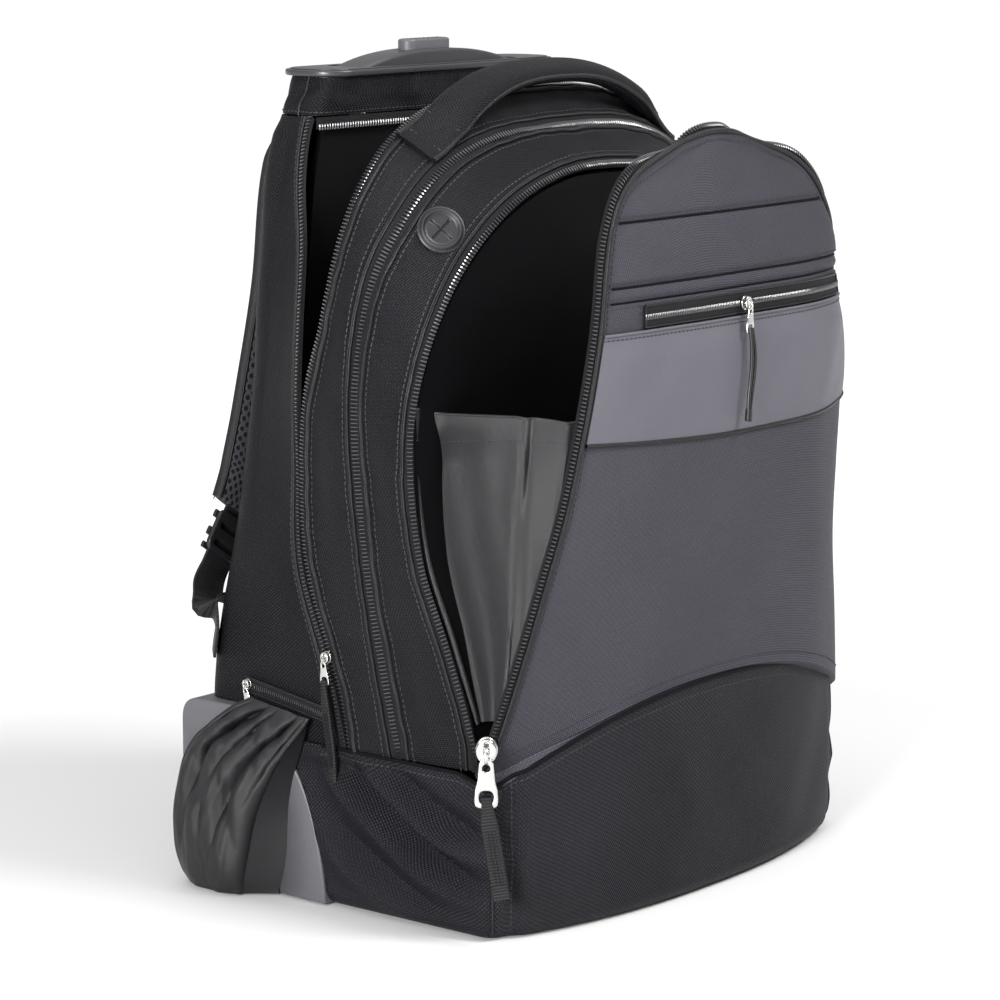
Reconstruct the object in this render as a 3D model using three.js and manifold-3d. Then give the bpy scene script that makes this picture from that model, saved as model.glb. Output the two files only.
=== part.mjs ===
// Wheeled backpack with its front pocket and laptop compartment unzipped.
// Millimetres. +Z is up, the front faces -Y, and z = 0 is the floor it stands on.
import * as THREE from "three";
import { mergeVertices } from "three/addons/utils/BufferGeometryUtils.js";
import Module from "manifold-3d";

const wasm = await Module();
wasm.setup();

// Driving sizes of the bag
const BODY_WIDTH = 352;
const BACK_HEIGHT = 486;
const BACK_DEPTH = 101; // middle plane to the back panel
const FRONT_DEPTH = 118; // middle plane to the front corners of the base
const FRONT_BULGE = 32; // how far the front of the base swells past its corners
const BASE_HEIGHT = 98;
const BASE_CORNER_DROP = 8; // the base seam dips at the front corners
const BASE_ARCH = 34; // and rises to the middle of the front
const BASE_BACK = 110;
const BASE_CORNER = 15;
const BASE_HEM = 11; // rounding of the bottom edge
const LAPTOP_ARCH_TOP = BACK_HEIGHT - 8;
const MAIN_ARCH_TOP = BACK_HEIGHT - 30;
const FRONT_ARCH_TOP = BACK_HEIGHT - 53;
const FLAP_TOP = BACK_HEIGHT - 31;
const FLAP_REACH = 150; // middle plane to the pulled-open flap
const BACK_CORNER = 20;
const COLLAR_HEIGHT = 22;
const COLLAR_FRONT = 58;

// Cloth, foam and clearances
const CLOTH = 2.4;
const LINING = 1.2;
const PADDED_WALL = 4;
const FLAP_WALL = 3.4;
const ZIP_TAPE = 7;
const ZIP_WALL = 3.2;
const ZIP_PROUD = 0.8;
const MAIN_ZIP_WIDTH = 13; // coil with a piping on either side
const GAP = 0.3;

// Front pull-open flap
const BAND_LOW = 0.5; // shares of the flap's height
const BAND_HIGH = 0.68;
const BAND_STANDOFF = 5;
const BAND_WALL = 1.5;
const WEB_TOP = 0.53; // hem of the lining web, as a share of the flap's height
const WEB_FOLD = 7;
const FLAP_CLOSED = 0.48; // on the right the zip is closed up to here,
const FLAP_FREE = 0.62; // and hangs free from here
const SEAM_GAP = 1.8;
const FLAP_LEVEL = 21; // mean height of the flap's foot over the side seams
const BAND_FROM = 0.03; // shares of the flap's width
const BAND_TO = 0.86;
const BAND_SAG = 8;
const POCKET_FLOOR = 14;
const WALL_INSET = CLOTH + 3 * GAP; // compartment walls stand inside the gussets

// Grab handle
const GRAB_STEP = 5; // steps of the arch from its shoulder to the handle's end
const GRAB_WIDTH = 30;
const GRAB_THICK = 10;
const GRAB_DEPTH = -18;
const GRAB_TOP = BACK_HEIGHT + 7.5;

// Cable port
const PORT_RADIUS = 14;
const PORT_RING = 4.5;
const PORT_THICK = 4;
const PORT_SLIT = 1;
const PORT_STEP = 0.36; // place along the arch
const PORT_DEEP = 12;

// Zip sliders and pockets over the wheels
const PULLER_THICK = 1.6;
const PULL_THICK = 2.6;
const LAPTOP_SLIDER_Z = 152;
const FRONT_SLIDER_Z = BACK_HEIGHT - 195;
const POCKET_ZIP_BACK = 75;
const POCKET_ZIP_FRONT = 9;
const POCKET_ZIP_WIDTH = 8;

// Trolley
const TROLLEY_Y = 79;
const TUBE_SPREAD = 104; // between the two legs' centres
const TUBE_FLOOR = 28; // where the legs' bores end
const TUBE_STEP = 4; // each inner tube starts this much higher
const TUBE_WIDTH = 25;
const TUBE_DEPTH = 16;
const TUBE_WALL = 1.2;
const TUBE_CLEARANCE = 0.4;
const TUBE_CORNER = 3.5;
const FOOT_WIDTH = TUBE_SPREAD + 46;
const FOOT_DEPTH = 25;
const FOOT_HEIGHT = 36;
const CAP_WIDTH = 224;
const CAP_DEPTH = 50;
const CAP_Y = 80;
const CAP_PLATE = 3.7;
const CAP_SKIRT = 10;
const CAP_CORNER = 21;
const CAP_WALL = 2.5;
const GRIP_WIDTH = TUBE_SPREAD + 38;
const GRIP_DEPTH = 25;
const GRIP_BOTTOM = BACK_HEIGHT - 6;
const GRIP_END = BACK_HEIGHT + 4;
const GRIP_CROWN = BACK_HEIGHT + 13;
const GRIP_CLEARANCE = 1;
const GRIP_SOCKET = 8;
const NEST_FLOOR = 3;
const BUTTON_WIDTH = 42;
const BUTTON_DEPTH = 13;
const BUTTON_TOP = GRIP_CROWN + 6;
const BUTTON_HEIGHT = 12;
const BUTTON_TRAVEL = 3;

// Wheels and their housings
const WHEEL_RADIUS = 36;
const WHEEL_WIDTH = 24;
const WHEEL_Y = 84;
const WHEEL_RUN = 8; // free space round the tyre
const TYRE_THICK = 8;
const HUB_DISH = 2.5;
const AXLE_RADIUS = 4;
const AXLE_HEAD = 8;
const AXLE_HEAD_THICK = 2.5;
const HOUSING_SIDE = 178;
const HOUSING_INSIDE = 138;
const HOUSING_WALL = 2.5;
const HOUSING_BACK = 124;
const HOUSING_HEIGHT = 112;
const POCKET_ZIP_HIGH = HOUSING_HEIGHT + 14;
const POCKET_ZIP_LOW = HOUSING_HEIGHT + 5;
const POCKET_SLIDER_BACK = 72;
const POCKET_SLIDER_FRONT = 16;
const HOUSING_FRONT = 2;
const HOUSING_FLOOR = 1.5;
const HOUSING_CLEARANCE = 0.5;

// Straps and back pad
const STRAP_WIDTH = 62;
const STRAP_THICK = 12;
const STRAP_TOP = BACK_HEIGHT - 34;
const STRAP_LOW = 218;
const WEBBING_WIDTH = 25;
const WEBBING_THICK = 1.8;
const WEBBING_TOP = 152; // sewn to the back's corner from here
const WEBBING_LOW = 138;
const WEBBING_SLACK = 22; // how far the webbing's turn swings out
const BUCKLE_WIDTH = 36;
const BUCKLE_LENGTH = 26;
const BUCKLE_THICK = 6;
const RING_RADIUS = 9;
const RING_WIRE = 1.6;
const PAD_THICK = 9;
const PAD_HALF = 92;
const PAD_LOW = 128;
const PAD_HIGH = BACK_HEIGHT - 66;
const PAD_CORNER = 12;

// Wheel cover
const COVER_FLOOR = 1.5;
const COVER_REACH = 24; // past the side of the housing
const COVER_WALL = 1.2;
const COVER_FOLDS = 7;
const COVER_FOLD_DEPTH = 3;

const HALF = BODY_WIDTH / 2;

// Back section: at is a share of BACK_HEIGHT, half and edge are shares of the body's half width,
// back and edgeBack are shares of BACK_DEPTH. The edge is the laptop zip's rear tape.
const BACK_ROWS = [
  { at: 0.205, half: 0.972, back: 1.14, edge: 0.989, edgeBack: -0.07 },
  { at: 0.3, half: 0.955, back: 1.12, edge: 0.989, edgeBack: 0.05 },
  { at: 0.42, half: 0.915, back: 1.02, edge: 0.989, edgeBack: 0.255 },
  { at: 0.545, half: 0.858, back: 1, edge: 0.98, edgeBack: 0.29 },
  { at: 0.62, half: 0.825, back: 1, edge: 0.972, edgeBack: 0.31 },
  { at: 0.71, half: 0.795, back: 1, edge: 0.925, edgeBack: 0.36 },
  { at: 0.8, half: 0.765, back: 1, edge: 0.852, edgeBack: 0.44 },
  { at: 0.88, half: 0.737, back: 1, edge: 0.79, edgeBack: 0.54 },
  { at: 0.94, half: 0.69, back: 1, edge: 0.725, edgeBack: 0.59 },
  { at: 1, half: 0.622, back: 1, edge: 0.622, edgeBack: 0.61 },
];

// Depth of each zip's arch: at is a share of the arch's top, back is a share of BACK_DEPTH.
const LAPTOP_DEPTHS = [
  { at: 0.2, back: -0.09 },
  { at: 0.27, back: -0.02 },
  { at: 0.43, back: 0.235 },
  { at: 0.57, back: 0.265 },
  { at: 0.66, back: 0.215 },
  { at: 0.73, back: 0.115 },
  { at: 0.86, back: 0.03 },
  { at: 1, back: 0 },
];
const MAIN_DEPTHS = [
  { at: 0.18, back: -0.5 },
  { at: 0.42, back: -0.25 },
  { at: 0.6, back: -0.14 },
  { at: 0.7, back: -0.135 },
  { at: 0.82, back: -0.18 },
  { at: 0.9, back: -0.27 },
  { at: 1, back: -0.34 },
];
const FRONT_DEPTHS = [
  { at: 0.22, back: -1.01 },
  { at: 0.27, back: -0.98 },
  { at: 0.385, back: -0.8 },
  { at: 0.5, back: -0.6 },
  { at: 0.65, back: -0.52 },
  { at: 0.76, back: -0.54 },
  { at: 1, back: -0.64 },
];

const LAPTOP_ARCH = { half: 0.989, shoulder: 0.63, top: LAPTOP_ARCH_TOP, power: 3, depths: LAPTOP_DEPTHS };
const MAIN_ARCH = { half: 0.977, shoulder: 0.59, top: MAIN_ARCH_TOP, power: 3, depths: MAIN_DEPTHS };
const FRONT_ARCH = { half: 0.95, shoulder: 0.6, top: FRONT_ARCH_TOP, power: 2.2, depths: FRONT_DEPTHS };

// Front flap: at is a share of the way from the base seam to FLAP_TOP. Widths are shares of the body's
// half width and depths are shares of FLAP_REACH: the free left edge, the middle, the right corner and edge.
const FLAP_ROWS = [
  { at: 0, left: -0.968, leftFore: 0.73, fore: 1, corner: 0.975, cornerFore: 0.79, right: 0.975, rightFore: 0.7 },
  { at: 0.12, left: -0.94, leftFore: 0.845, fore: 1.01, corner: 0.975, cornerFore: 0.77, right: 0.972, rightFore: 0.6 },
  { at: 0.24, left: -0.885, leftFore: 0.915, fore: 1.015, corner: 0.975, cornerFore: 0.75, right: 0.968, rightFore: 0.51 },
  { at: 0.37, left: -0.81, leftFore: 0.96, fore: 1.02, corner: 0.975, cornerFore: 0.76, right: 0.965, rightFore: 0.44 },
  { at: 0.5, left: -0.738, leftFore: 0.975, fore: 1.02, corner: 0.975, cornerFore: 0.78, right: 0.96, rightFore: 0.43 },
  { at: 0.6, left: -0.68, leftFore: 0.975, fore: 1.013, corner: 0.935, cornerFore: 0.81, right: 0.935, rightFore: 0.6 },
  { at: 0.69, left: -0.635, leftFore: 0.972, fore: 1.005, corner: 0.865, cornerFore: 0.85, right: 0.885, rightFore: 0.75 },
  { at: 0.79, left: -0.605, leftFore: 0.968, fore: 0.995, corner: 0.745, cornerFore: 0.94, right: 0.79, rightFore: 0.885 },
  { at: 0.88, left: -0.56, leftFore: 0.965, fore: 0.985, corner: 0.59, cornerFore: 0.965, right: 0.64, rightFore: 0.945 },
  { at: 0.95, left: -0.44, leftFore: 0.96, fore: 0.975, corner: 0.42, cornerFore: 0.962, right: 0.47, rightFore: 0.95 },
  { at: 1, left: -0.17, leftFore: 0.955, fore: 0.965, corner: 0.14, cornerFore: 0.957, right: 0.17, rightFore: 0.952 },
];

// Shoulder strap: at is a share of its fall, out is a share of the body's half width, off is how far its
// inner face stands off the back pad as a share of the strap's thickness, and wide is a share of its width.
const STRAP_ROWS = [
  { at: 0, out: 0.4, off: -0.77, wide: 0.8 },
  { at: 0.1, out: 0.42, off: 0.06, wide: 0.94 },
  { at: 0.42, out: 0.46, off: 0.3, wide: 1 },
  { at: 0.72, out: 0.545, off: 0.5, wide: 1 },
  { at: 0.9, out: 0.62, off: 0.6, wide: 0.94 },
  { at: 1, out: 0.705, off: 0.65, wide: 0.76 },
];

// Wheel cover: at is a share of its fall, reach is a share of COVER_REACH, front and back are shares of
// the housing's back.
const COVER_ROWS = [
  { at: 0, reach: 0.08, front: 0.15, back: 0.51 },
  { at: 0.12, reach: 0.34, front: 0.16, back: 0.68 },
  { at: 0.3, reach: 0.72, front: 0.2, back: 0.88 },
  { at: 0.55, reach: 0.98, front: 0.26, back: 0.95 },
  { at: 0.8, reach: 1, front: 0.31, back: 0.95 },
  { at: 0.93, reach: 0.9, front: 0.34, back: 0.93 },
  { at: 1, reach: 0.7, front: 0.36, back: 0.9 },
];

const V = (x, y, z) => new THREE.Vector3(x, y, z);

// A smooth curve through one column of a table, read at a place of its first column.
function along(rows, column, place) {
  let i = 0;
  while (i < rows.length - 2 && place > rows[i + 1].at) i++;
  const before = rows[Math.max(i - 1, 0)];
  const from = rows[i];
  const to = rows[i + 1];
  const after = rows[Math.min(i + 2, rows.length - 1)];
  const step = to.at - from.at;
  const share = Math.min(Math.max((place - from.at) / step, 0), 1);
  const leave = ((to[column] - before[column]) / (to.at - before.at)) * step;
  const arrive = ((after[column] - from[column]) / (after.at - from.at)) * step;
  const s2 = share * share;
  const s3 = s2 * share;
  return (
    from[column] * (2 * s3 - 3 * s2 + 1) +
    leave * (s3 - 2 * s2 + share) +
    to[column] * (3 * s2 - 2 * s3) +
    arrive * (s3 - s2)
  );
}

const mix = (a, b, share) => a + (b - a) * share;
const steps = (count) => Array.from({ length: count + 1 }, (_, i) => i / count);

// A geometry from points and triangles, turned so that its faces point out.
function closedGeometry(points, triangles) {
  let volume = 0;
  for (const [a, b, c] of triangles) volume += points[a].dot(V().crossVectors(points[b], points[c]));
  const faces = volume < 0 ? triangles.map(([a, b, c]) => [a, c, b]) : triangles;
  const geometry = new THREE.BufferGeometry();
  geometry.setAttribute("position", new THREE.Float32BufferAttribute(points.flatMap((p) => p.toArray()), 3));
  geometry.setIndex(faces.flat());
  return geometry;
}

// Two triangles for each cell of a grid of rows and columns whose first point has the number first.
function gridFaces(first, rows, columns, wrap, flip) {
  const faces = [];
  for (let i = 0; i < rows - 1; i++)
    for (let j = 0; j < (wrap ? columns : columns - 1); j++) {
      const k = (j + 1) % columns;
      const a = first + i * columns + j;
      const b = first + i * columns + k;
      const c = a + columns;
      const d = b + columns;
      faces.push(flip ? [a, c, b] : [a, b, c], flip ? [b, c, d] : [b, d, c]);
    }
  return faces;
}

function gridNormals(grid, wrap) {
  const rows = grid.length;
  const columns = grid[0].length;
  const column = (j) => (wrap ? (j + columns) % columns : Math.min(Math.max(j, 0), columns - 1));
  return grid.map((row, i) =>
    row.map((_, j) => {
      const down = V().subVectors(grid[Math.min(i + 1, rows - 1)][j], grid[Math.max(i - 1, 0)][j]);
      const across = V().subVectors(row[column(j + 1)], row[column(j - 1)]);
      return V().crossVectors(across, down).normalize();
    }),
  );
}

// A sheet of one thickness on a grid of points. It thickens away from its normals, and wrap closes each row.
function sheet(grid, thickness, { wrap = false, proud = 0, normals = gridNormals(grid, wrap) } = {}) {
  const rows = grid.length;
  const columns = grid[0].length;
  const shifted = (distance) =>
    grid.flatMap((row, i) => row.map((p, j) => p.clone().addScaledVector(normals[i][j], distance)));
  const points = [...shifted(proud), ...shifted(proud - thickness)];
  const size = rows * columns;
  const faces = [
    ...gridFaces(0, rows, columns, wrap, false),
    ...gridFaces(size, rows, columns, wrap, true),
  ];
  for (let j = 0; j < (wrap ? columns : columns - 1); j++) {
    const k = (j + 1) % columns;
    const last = (rows - 1) * columns;
    faces.push([j, size + j, k], [k, size + j, size + k]);
    faces.push([last + j, last + k, size + last + j], [last + k, size + last + k, size + last + j]);
  }
  if (!wrap)
    for (let i = 0; i < rows - 1; i++) {
      const a = i * columns;
      const b = a + columns;
      const c = a + columns - 1;
      const d = b + columns - 1;
      faces.push([a, b, size + a], [b, size + b, size + a]);
      faces.push([c, size + c, d], [d, size + c, size + d]);
    }
  return closedGeometry(points, faces);
}

// A closed form through rings of equally many points, with its two ends filled.
function loft(rings) {
  const count = rings[0].length;
  const points = rings.flat();
  const faces = gridFaces(0, rings.length, count, true, false);
  for (const [ring, turn] of [
    [0, false],
    [rings.length - 1, true],
  ]) {
    const centre = rings[ring].reduce((sum, p) => sum.add(p), V(0, 0, 0)).divideScalar(count);
    points.push(centre);
    for (let j = 0; j < count; j++) {
      const a = ring * count + j;
      const b = ring * count + ((j + 1) % count);
      faces.push(turn ? [a, b, points.length - 1] : [b, a, points.length - 1]);
    }
  }
  return closedGeometry(points, faces);
}

// A flat strap along a route, with its width along the given sides and rounded edges. The taper gives the
// share of its width at each share of its route.
function strap(route, sides, width, thickness, corner = 0.3, taper = () => 1) {
  const rings = route.map((p, i) => {
    const ahead = V().subVectors(route[Math.min(i + 1, route.length - 1)], route[Math.max(i - 1, 0)]).normalize();
    const side = sides[i].clone().addScaledVector(ahead, -sides[i].dot(ahead)).normalize();
    const up = V().crossVectors(ahead, side);
    const w = (width / 2) * taper(i / (route.length - 1));
    const t = thickness / 2;
    const c = t * corner * 2;
    const section = [
      [-w + c, -t],
      [w - c, -t],
      [w, -t + c],
      [w, t - c],
      [w - c, t],
      [-w + c, t],
      [-w, t - c],
      [-w, -t + c],
    ];
    return section.map(([a, b]) => p.clone().addScaledVector(side, a).addScaledVector(up, b));
  });
  return loft(rings);
}

function solidOf(geometry) {
  const bare = geometry.clone();
  bare.deleteAttribute("normal");
  bare.deleteAttribute("uv");
  const merged = mergeVertices(bare, 1e-3);
  return new wasm.Manifold(
    new wasm.Mesh({
      numProp: 3,
      vertProperties: new Float32Array(merged.attributes.position.array),
      triVerts: new Uint32Array(merged.index.array),
    }),
  );
}

function geometryOf(solid) {
  const mesh = solid.getMesh();
  const geometry = new THREE.BufferGeometry();
  geometry.setAttribute("position", new THREE.Float32BufferAttribute(mesh.vertProperties, 3));
  geometry.setIndex(Array.from(mesh.triVerts));
  return geometry;
}

const joined = (first, ...others) =>
  geometryOf(others.reduce((sum, other) => sum.add(solidOf(other)), solidOf(first)));
const cut = (first, ...tools) =>
  geometryOf(tools.reduce((rest, tool) => rest.subtract(solidOf(tool)), solidOf(first)));
const common = (first, second) => geometryOf(solidOf(first).intersect(solidOf(second)));

const AXES = {
  x: new THREE.Matrix4().makeBasis(V(0, 1, 0), V(0, 0, 1), V(1, 0, 0)), // outline in Y and Z
  y: new THREE.Matrix4().makeBasis(V(1, 0, 0), V(0, 0, 1), V(0, -1, 0)), // outline in X and Z
  z: new THREE.Matrix4(), // outline in X and Y
};

// An outline drawn out along one axis, from one place to another.
function prism(outline, axis, from, to, bevel = 0, curve = 4) {
  const low = Math.min(from, to);
  const length = Math.abs(to - from);
  const shape = outline instanceof THREE.Shape ? outline : new THREE.Shape(outline);
  const geometry = new THREE.ExtrudeGeometry(shape, {
    depth: length - 2 * bevel,
    bevelEnabled: bevel > 0,
    bevelThickness: bevel,
    bevelSize: bevel,
    bevelOffset: -bevel,
    bevelSegments: 1,
    curveSegments: curve,
  });
  geometry.translate(0, 0, axis === "y" ? -(low + length) + bevel : low + bevel);
  return geometry.applyMatrix4(AXES[axis]);
}

function roundedRectangle(width, height, radius, centreX = 0, centreY = 0) {
  const x = width / 2;
  const y = height / 2;
  const r = Math.min(radius, x - 0.1, y - 0.1);
  const shape = new THREE.Shape();
  shape.moveTo(centreX - x + r, centreY - y);
  shape.lineTo(centreX + x - r, centreY - y);
  shape.absarc(centreX + x - r, centreY - y + r, r, -Math.PI / 2, 0);
  shape.lineTo(centreX + x, centreY + y - r);
  shape.absarc(centreX + x - r, centreY + y - r, r, 0, Math.PI / 2);
  shape.lineTo(centreX - x + r, centreY + y);
  shape.absarc(centreX - x + r, centreY + y - r, r, Math.PI / 2, Math.PI);
  shape.lineTo(centreX - x, centreY - y + r);
  shape.absarc(centreX - x + r, centreY - y + r, r, Math.PI, 1.5 * Math.PI);
  return shape;
}

function cylinder(radius, axis, from, to, a, b, sides = 20) {
  const ring = steps(sides)
    .slice(0, -1)
    .map((s) => new THREE.Vector2(a + radius * Math.cos(2 * Math.PI * s), b + radius * Math.sin(2 * Math.PI * s)));
  return prism(ring, axis, from, to);
}

// Materials
const finish = (color, roughness, metalness = 0) => new THREE.MeshStandardMaterial({ color, roughness, metalness });
const FABRIC = finish(0x2b2b2f, 0.72);
const GUSSET = finish(0x26262a, 0.5);
const SATIN = finish(0x45454b, 0.42);
const LINING_CLOTH = finish(0x46474b, 0.6);
const PLASTIC = finish(0x2f3033, 0.5);
const RUBBER = finish(0x18181a, 0.7);
const ZIP = finish(0x141416, 0.6);
const CHROME = finish(0xc4c6ca, 0.2, 1);
const ALUMINIUM = finish(0x8f9296, 0.35, 1);
const MESH_CLOTH = finish(0x1c1c1f, 0.85);
const WEBBING = finish(0x161618, 0.75);
const NYLON = finish(0x1b1b1e, 0.45);
const AXLE_STEEL = finish(0x9a9ca0, 0.3, 1);

const backpack = new THREE.Group();

function add(name, geometry, material, parent = backpack) {
  const mesh = new THREE.Mesh(geometry, material);
  mesh.name = name;
  parent.add(mesh);
  return mesh;
}

// Arches: the lines that the zips follow over the bag
const ARCH_SIDE_STEPS = 5;
const ARCH_TOP_STEPS = 16;

// Points of an arch, from its left foot over its top to its right foot, moved in depth and outwards.
function archPoints(arch, foot, back = 0, out = 0) {
  const half = arch.half * HALF + out;
  const shoulder = arch.shoulder * arch.top;
  const rise = arch.top - shoulder + out;
  const flat = [];
  for (const s of steps(ARCH_SIDE_STEPS).slice(0, -1)) flat.push([-half, mix(foot, shoulder, s)]);
  for (const s of steps(ARCH_TOP_STEPS)) {
    const cos = Math.cos(Math.PI * s);
    const sin = Math.sin(Math.PI * s);
    const bend = 2 / arch.power;
    flat.push([-half * Math.sign(cos) * Math.abs(cos) ** bend, shoulder + rise * Math.max(sin, 0) ** bend]);
  }
  for (const s of steps(ARCH_SIDE_STEPS).slice(1)) flat.push([half, mix(shoulder, foot, s)]);
  return flat.map(([x, z]) => V(x, BACK_DEPTH * along(arch.depths, "back", z / arch.top) + back, z));
}

const archDepth = (arch, z) => BACK_DEPTH * along(arch.depths, "back", z / arch.top);

// Places across a band: a distance from its rear line or its front line, or a share of its width
const fromRear = (distance) => (width) => distance / width;
const fromFront = (distance) => (width) => 1 - distance / width;
const atShare = (share) => () => share;

// The surface between two arches, with a slight crown, as a grid with a column for each place. At a seam
// two neighbouring columns face the same way.
function band(rearArch, frontArch, foot, crown, places, seams) {
  const rear = archPoints(rearArch, foot);
  const front = archPoints(frontArch, foot);
  const grid = rear.map((p, i) => {
    const out = V(p.x, 0, Math.max(p.z - rearArch.shoulder * rearArch.top, 0)).normalize();
    const width = p.distanceTo(front[i]);
    return places.map((place) => {
      const s = place(width);
      return p.clone().lerp(front[i], s).addScaledVector(out, crown * 4 * s * (1 - s));
    });
  });
  const normals = gridNormals(grid, false);
  for (const row of normals)
    for (const j of seams) row[j] = row[j + 1] = V().addVectors(row[j], row[j + 1]).normalize();
  return { grid, normals };
}

// A sheet made of some neighbouring columns of a band
function strip({ grid, normals }, from, to, thickness, proud = 0) {
  const part = (rows) => rows.map((row) => row.slice(from, to + 1));
  return sheet(part(grid), thickness, { proud, normals: part(normals) });
}

// Each pair of facing arch points gives a row of a wall that fills the arch.
function wallGrid(points, columns) {
  const middle = (points.length - 1) / 2;
  return steps(middle)
    .slice(0, -1)
    .map((s, i) => steps(columns).map((c) => points[i].clone().lerp(points[points.length - 1 - i], c)));
}

// Base
const frontLine = (x) => -FRONT_DEPTH - FRONT_BULGE * (1 - Math.min(Math.abs(x / HALF), 1) ** 2.45);

function corner(x, y, radius, turn, count = 3) {
  const signX = Math.sign(x);
  const signY = Math.sign(y);
  return steps(count).map((s) => {
    const angle = turn + (s * Math.PI) / 2;
    return [x - signX * radius + radius * Math.cos(angle), y - signY * radius + radius * Math.sin(angle)];
  });
}

// The base seen from above, anticlockwise from its front left corner
function basePlan() {
  const front = steps(10)
    .slice(1, -1)
    .map((s) => {
      const x = mix(-HALF + BASE_CORNER, HALF - BASE_CORNER, s);
      return [x, frontLine(x)];
    });
  const side = [-0.4, 0, 0.4].map((s) => [HALF, s * FRONT_DEPTH]);
  return [
    ...corner(-HALF, -FRONT_DEPTH - 2, BASE_CORNER, Math.PI),
    ...front,
    ...corner(HALF, -FRONT_DEPTH - 2, BASE_CORNER, 1.5 * Math.PI),
    ...side,
    ...corner(HALF, BASE_BACK, BASE_CORNER, 0),
    [0.4 * HALF, BASE_BACK],
    [-0.4 * HALF, BASE_BACK],
    ...corner(-HALF, BASE_BACK, BASE_CORNER, Math.PI / 2),
    ...side.map(([x, y]) => [-x, y]).reverse(),
  ];
}

// Height of the base seam round the bag
function seamHeight(x, y) {
  const forward = Math.min(Math.max((-y - 0.8 * FRONT_DEPTH) / (0.2 * FRONT_DEPTH), 0), 1);
  const arch = BASE_HEIGHT - BASE_CORNER_DROP + (BASE_ARCH + BASE_CORNER_DROP) * (1 - Math.abs(x / HALF) ** 2.3);
  return mix(BASE_HEIGHT, arch, forward);
}

// A ring of plan points moved inwards
function inset(ring, distance) {
  return ring.map(([x, y], i) => {
    const [ax, ay] = ring[(i + ring.length - 1) % ring.length];
    const [bx, by] = ring[(i + 1) % ring.length];
    const length = Math.hypot(bx - ax, by - ay);
    return [x - ((by - ay) / length) * distance, y + ((bx - ax) / length) * distance];
  });
}

function baseShell() {
  const plan = basePlan();
  const ring = (distance, height) => inset(plan, distance).map(([x, y]) => V(x, y, height(x, y)));
  const seam = (x, y) => seamHeight(Math.min(Math.abs(x), HALF), y);
  const outer = [
    ring(BASE_HEM, () => 0),
    ring(BASE_HEM * 0.3, () => BASE_HEM * 0.3),
    ring(0, () => BASE_HEM),
    ring(-1.5, (x, y) => seam(x, y) * 0.55),
    ring(0, seam),
  ];
  const inner = [
    ring(CLOTH, seam),
    ring(CLOTH - 1.5, (x, y) => seam(x, y) * 0.55),
    ring(CLOTH, () => BASE_HEM),
    ring(BASE_HEM + CLOTH, () => CLOTH),
  ];
  return loft([...outer, ...inner]);
}

// Housing of a wheel, seen from the side: Y and Z
function housingOutline(grow = 0) {
  const low = HOUSING_FLOOR - grow;
  const shape = new THREE.Shape();
  shape.moveTo(HOUSING_FRONT - grow, low);
  shape.quadraticCurveTo(
    HOUSING_FRONT + 34 - grow,
    0.3 * HOUSING_HEIGHT + grow,
    HOUSING_FRONT + 56 - grow,
    0.72 * HOUSING_HEIGHT + grow,
  );
  shape.quadraticCurveTo(HOUSING_FRONT + 66 - grow, HOUSING_HEIGHT + grow, HOUSING_FRONT + 84, HOUSING_HEIGHT + grow);
  shape.lineTo(HOUSING_BACK - 14, HOUSING_HEIGHT + grow);
  shape.quadraticCurveTo(HOUSING_BACK + grow, HOUSING_HEIGHT + grow, HOUSING_BACK + grow, HOUSING_HEIGHT - 14);
  shape.lineTo(HOUSING_BACK + grow, low);
  return shape;
}

const WELL_RADIUS = WHEEL_RADIUS + WHEEL_RUN;
const WELL_WALL_X = HOUSING_INSIDE + HOUSING_WALL;
const FAR = 400;

// The wheel's arch: a round well whose mouth runs down to the floor
function wellTool(radius, from, to) {
  const round = cylinder(radius, "x", from, to, WHEEL_Y, WHEEL_RADIUS, 28);
  const mouth = prism(
    new THREE.Shape([
      new THREE.Vector2(WHEEL_Y - radius, -10),
      new THREE.Vector2(WHEEL_Y + radius, -10),
      new THREE.Vector2(WHEEL_Y + radius, WHEEL_RADIUS),
      new THREE.Vector2(WHEEL_Y - radius, WHEEL_RADIUS),
    ]),
    "x",
    from,
    to,
  );
  return joined(round, mouth);
}

function housing() {
  const outer = prism(housingOutline(), "x", HOUSING_INSIDE, HOUSING_SIDE);
  const hollow = prism(housingOutline(-HOUSING_WALL), "x", HOUSING_INSIDE - 1, HOUSING_SIDE - HOUSING_WALL);
  const shell = cut(outer, hollow);
  const well = common(outer, wellTool(WELL_RADIUS + HOUSING_WALL, HOUSING_INSIDE, HOUSING_SIDE));
  return cut(joined(shell, well), wellTool(WELL_RADIUS, WELL_WALL_X, FAR));
}

// A copy of a geometry on the left, mirrored from the right
function mirrored(geometry) {
  const copy = geometryOf(solidOf(geometry));
  copy.scale(-1, 1, 1);
  copy.index.array.reverse();
  return copy;
}

function addPair(name, geometry, material, leftParent = backpack, rightParent = backpack) {
  add(name + "_right", geometry, material, rightParent);
  add(name + "_left", mirrored(geometry), material, leftParent);
}

const housingRight = housing();
addPair("wheel_housing", housingRight, PLASTIC);

const housingCut = prism(housingOutline(HOUSING_CLEARANCE), "x", HOUSING_INSIDE - HOUSING_CLEARANCE, FAR);
const wellCut = wellTool(WELL_RADIUS, HOUSING_INSIDE - HOUSING_CLEARANCE, FAR);
add(
  "base_shell",
  cut(baseShell(), housingCut, mirrored(housingCut), wellCut, mirrored(wellCut)),
  FABRIC,
);

// Wheels
const WHEEL_MIDDLE = WELL_WALL_X + HOUSING_WALL + WHEEL_WIDTH / 2 + 1;

function lathe(profile) {
  const points = profile.map(([r, x]) => new THREE.Vector2(r, x));
  const geometry = new THREE.LatheGeometry([...points, points[0]], 18);
  geometry.rotateZ(-Math.PI / 2);
  return geometry;
}

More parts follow.
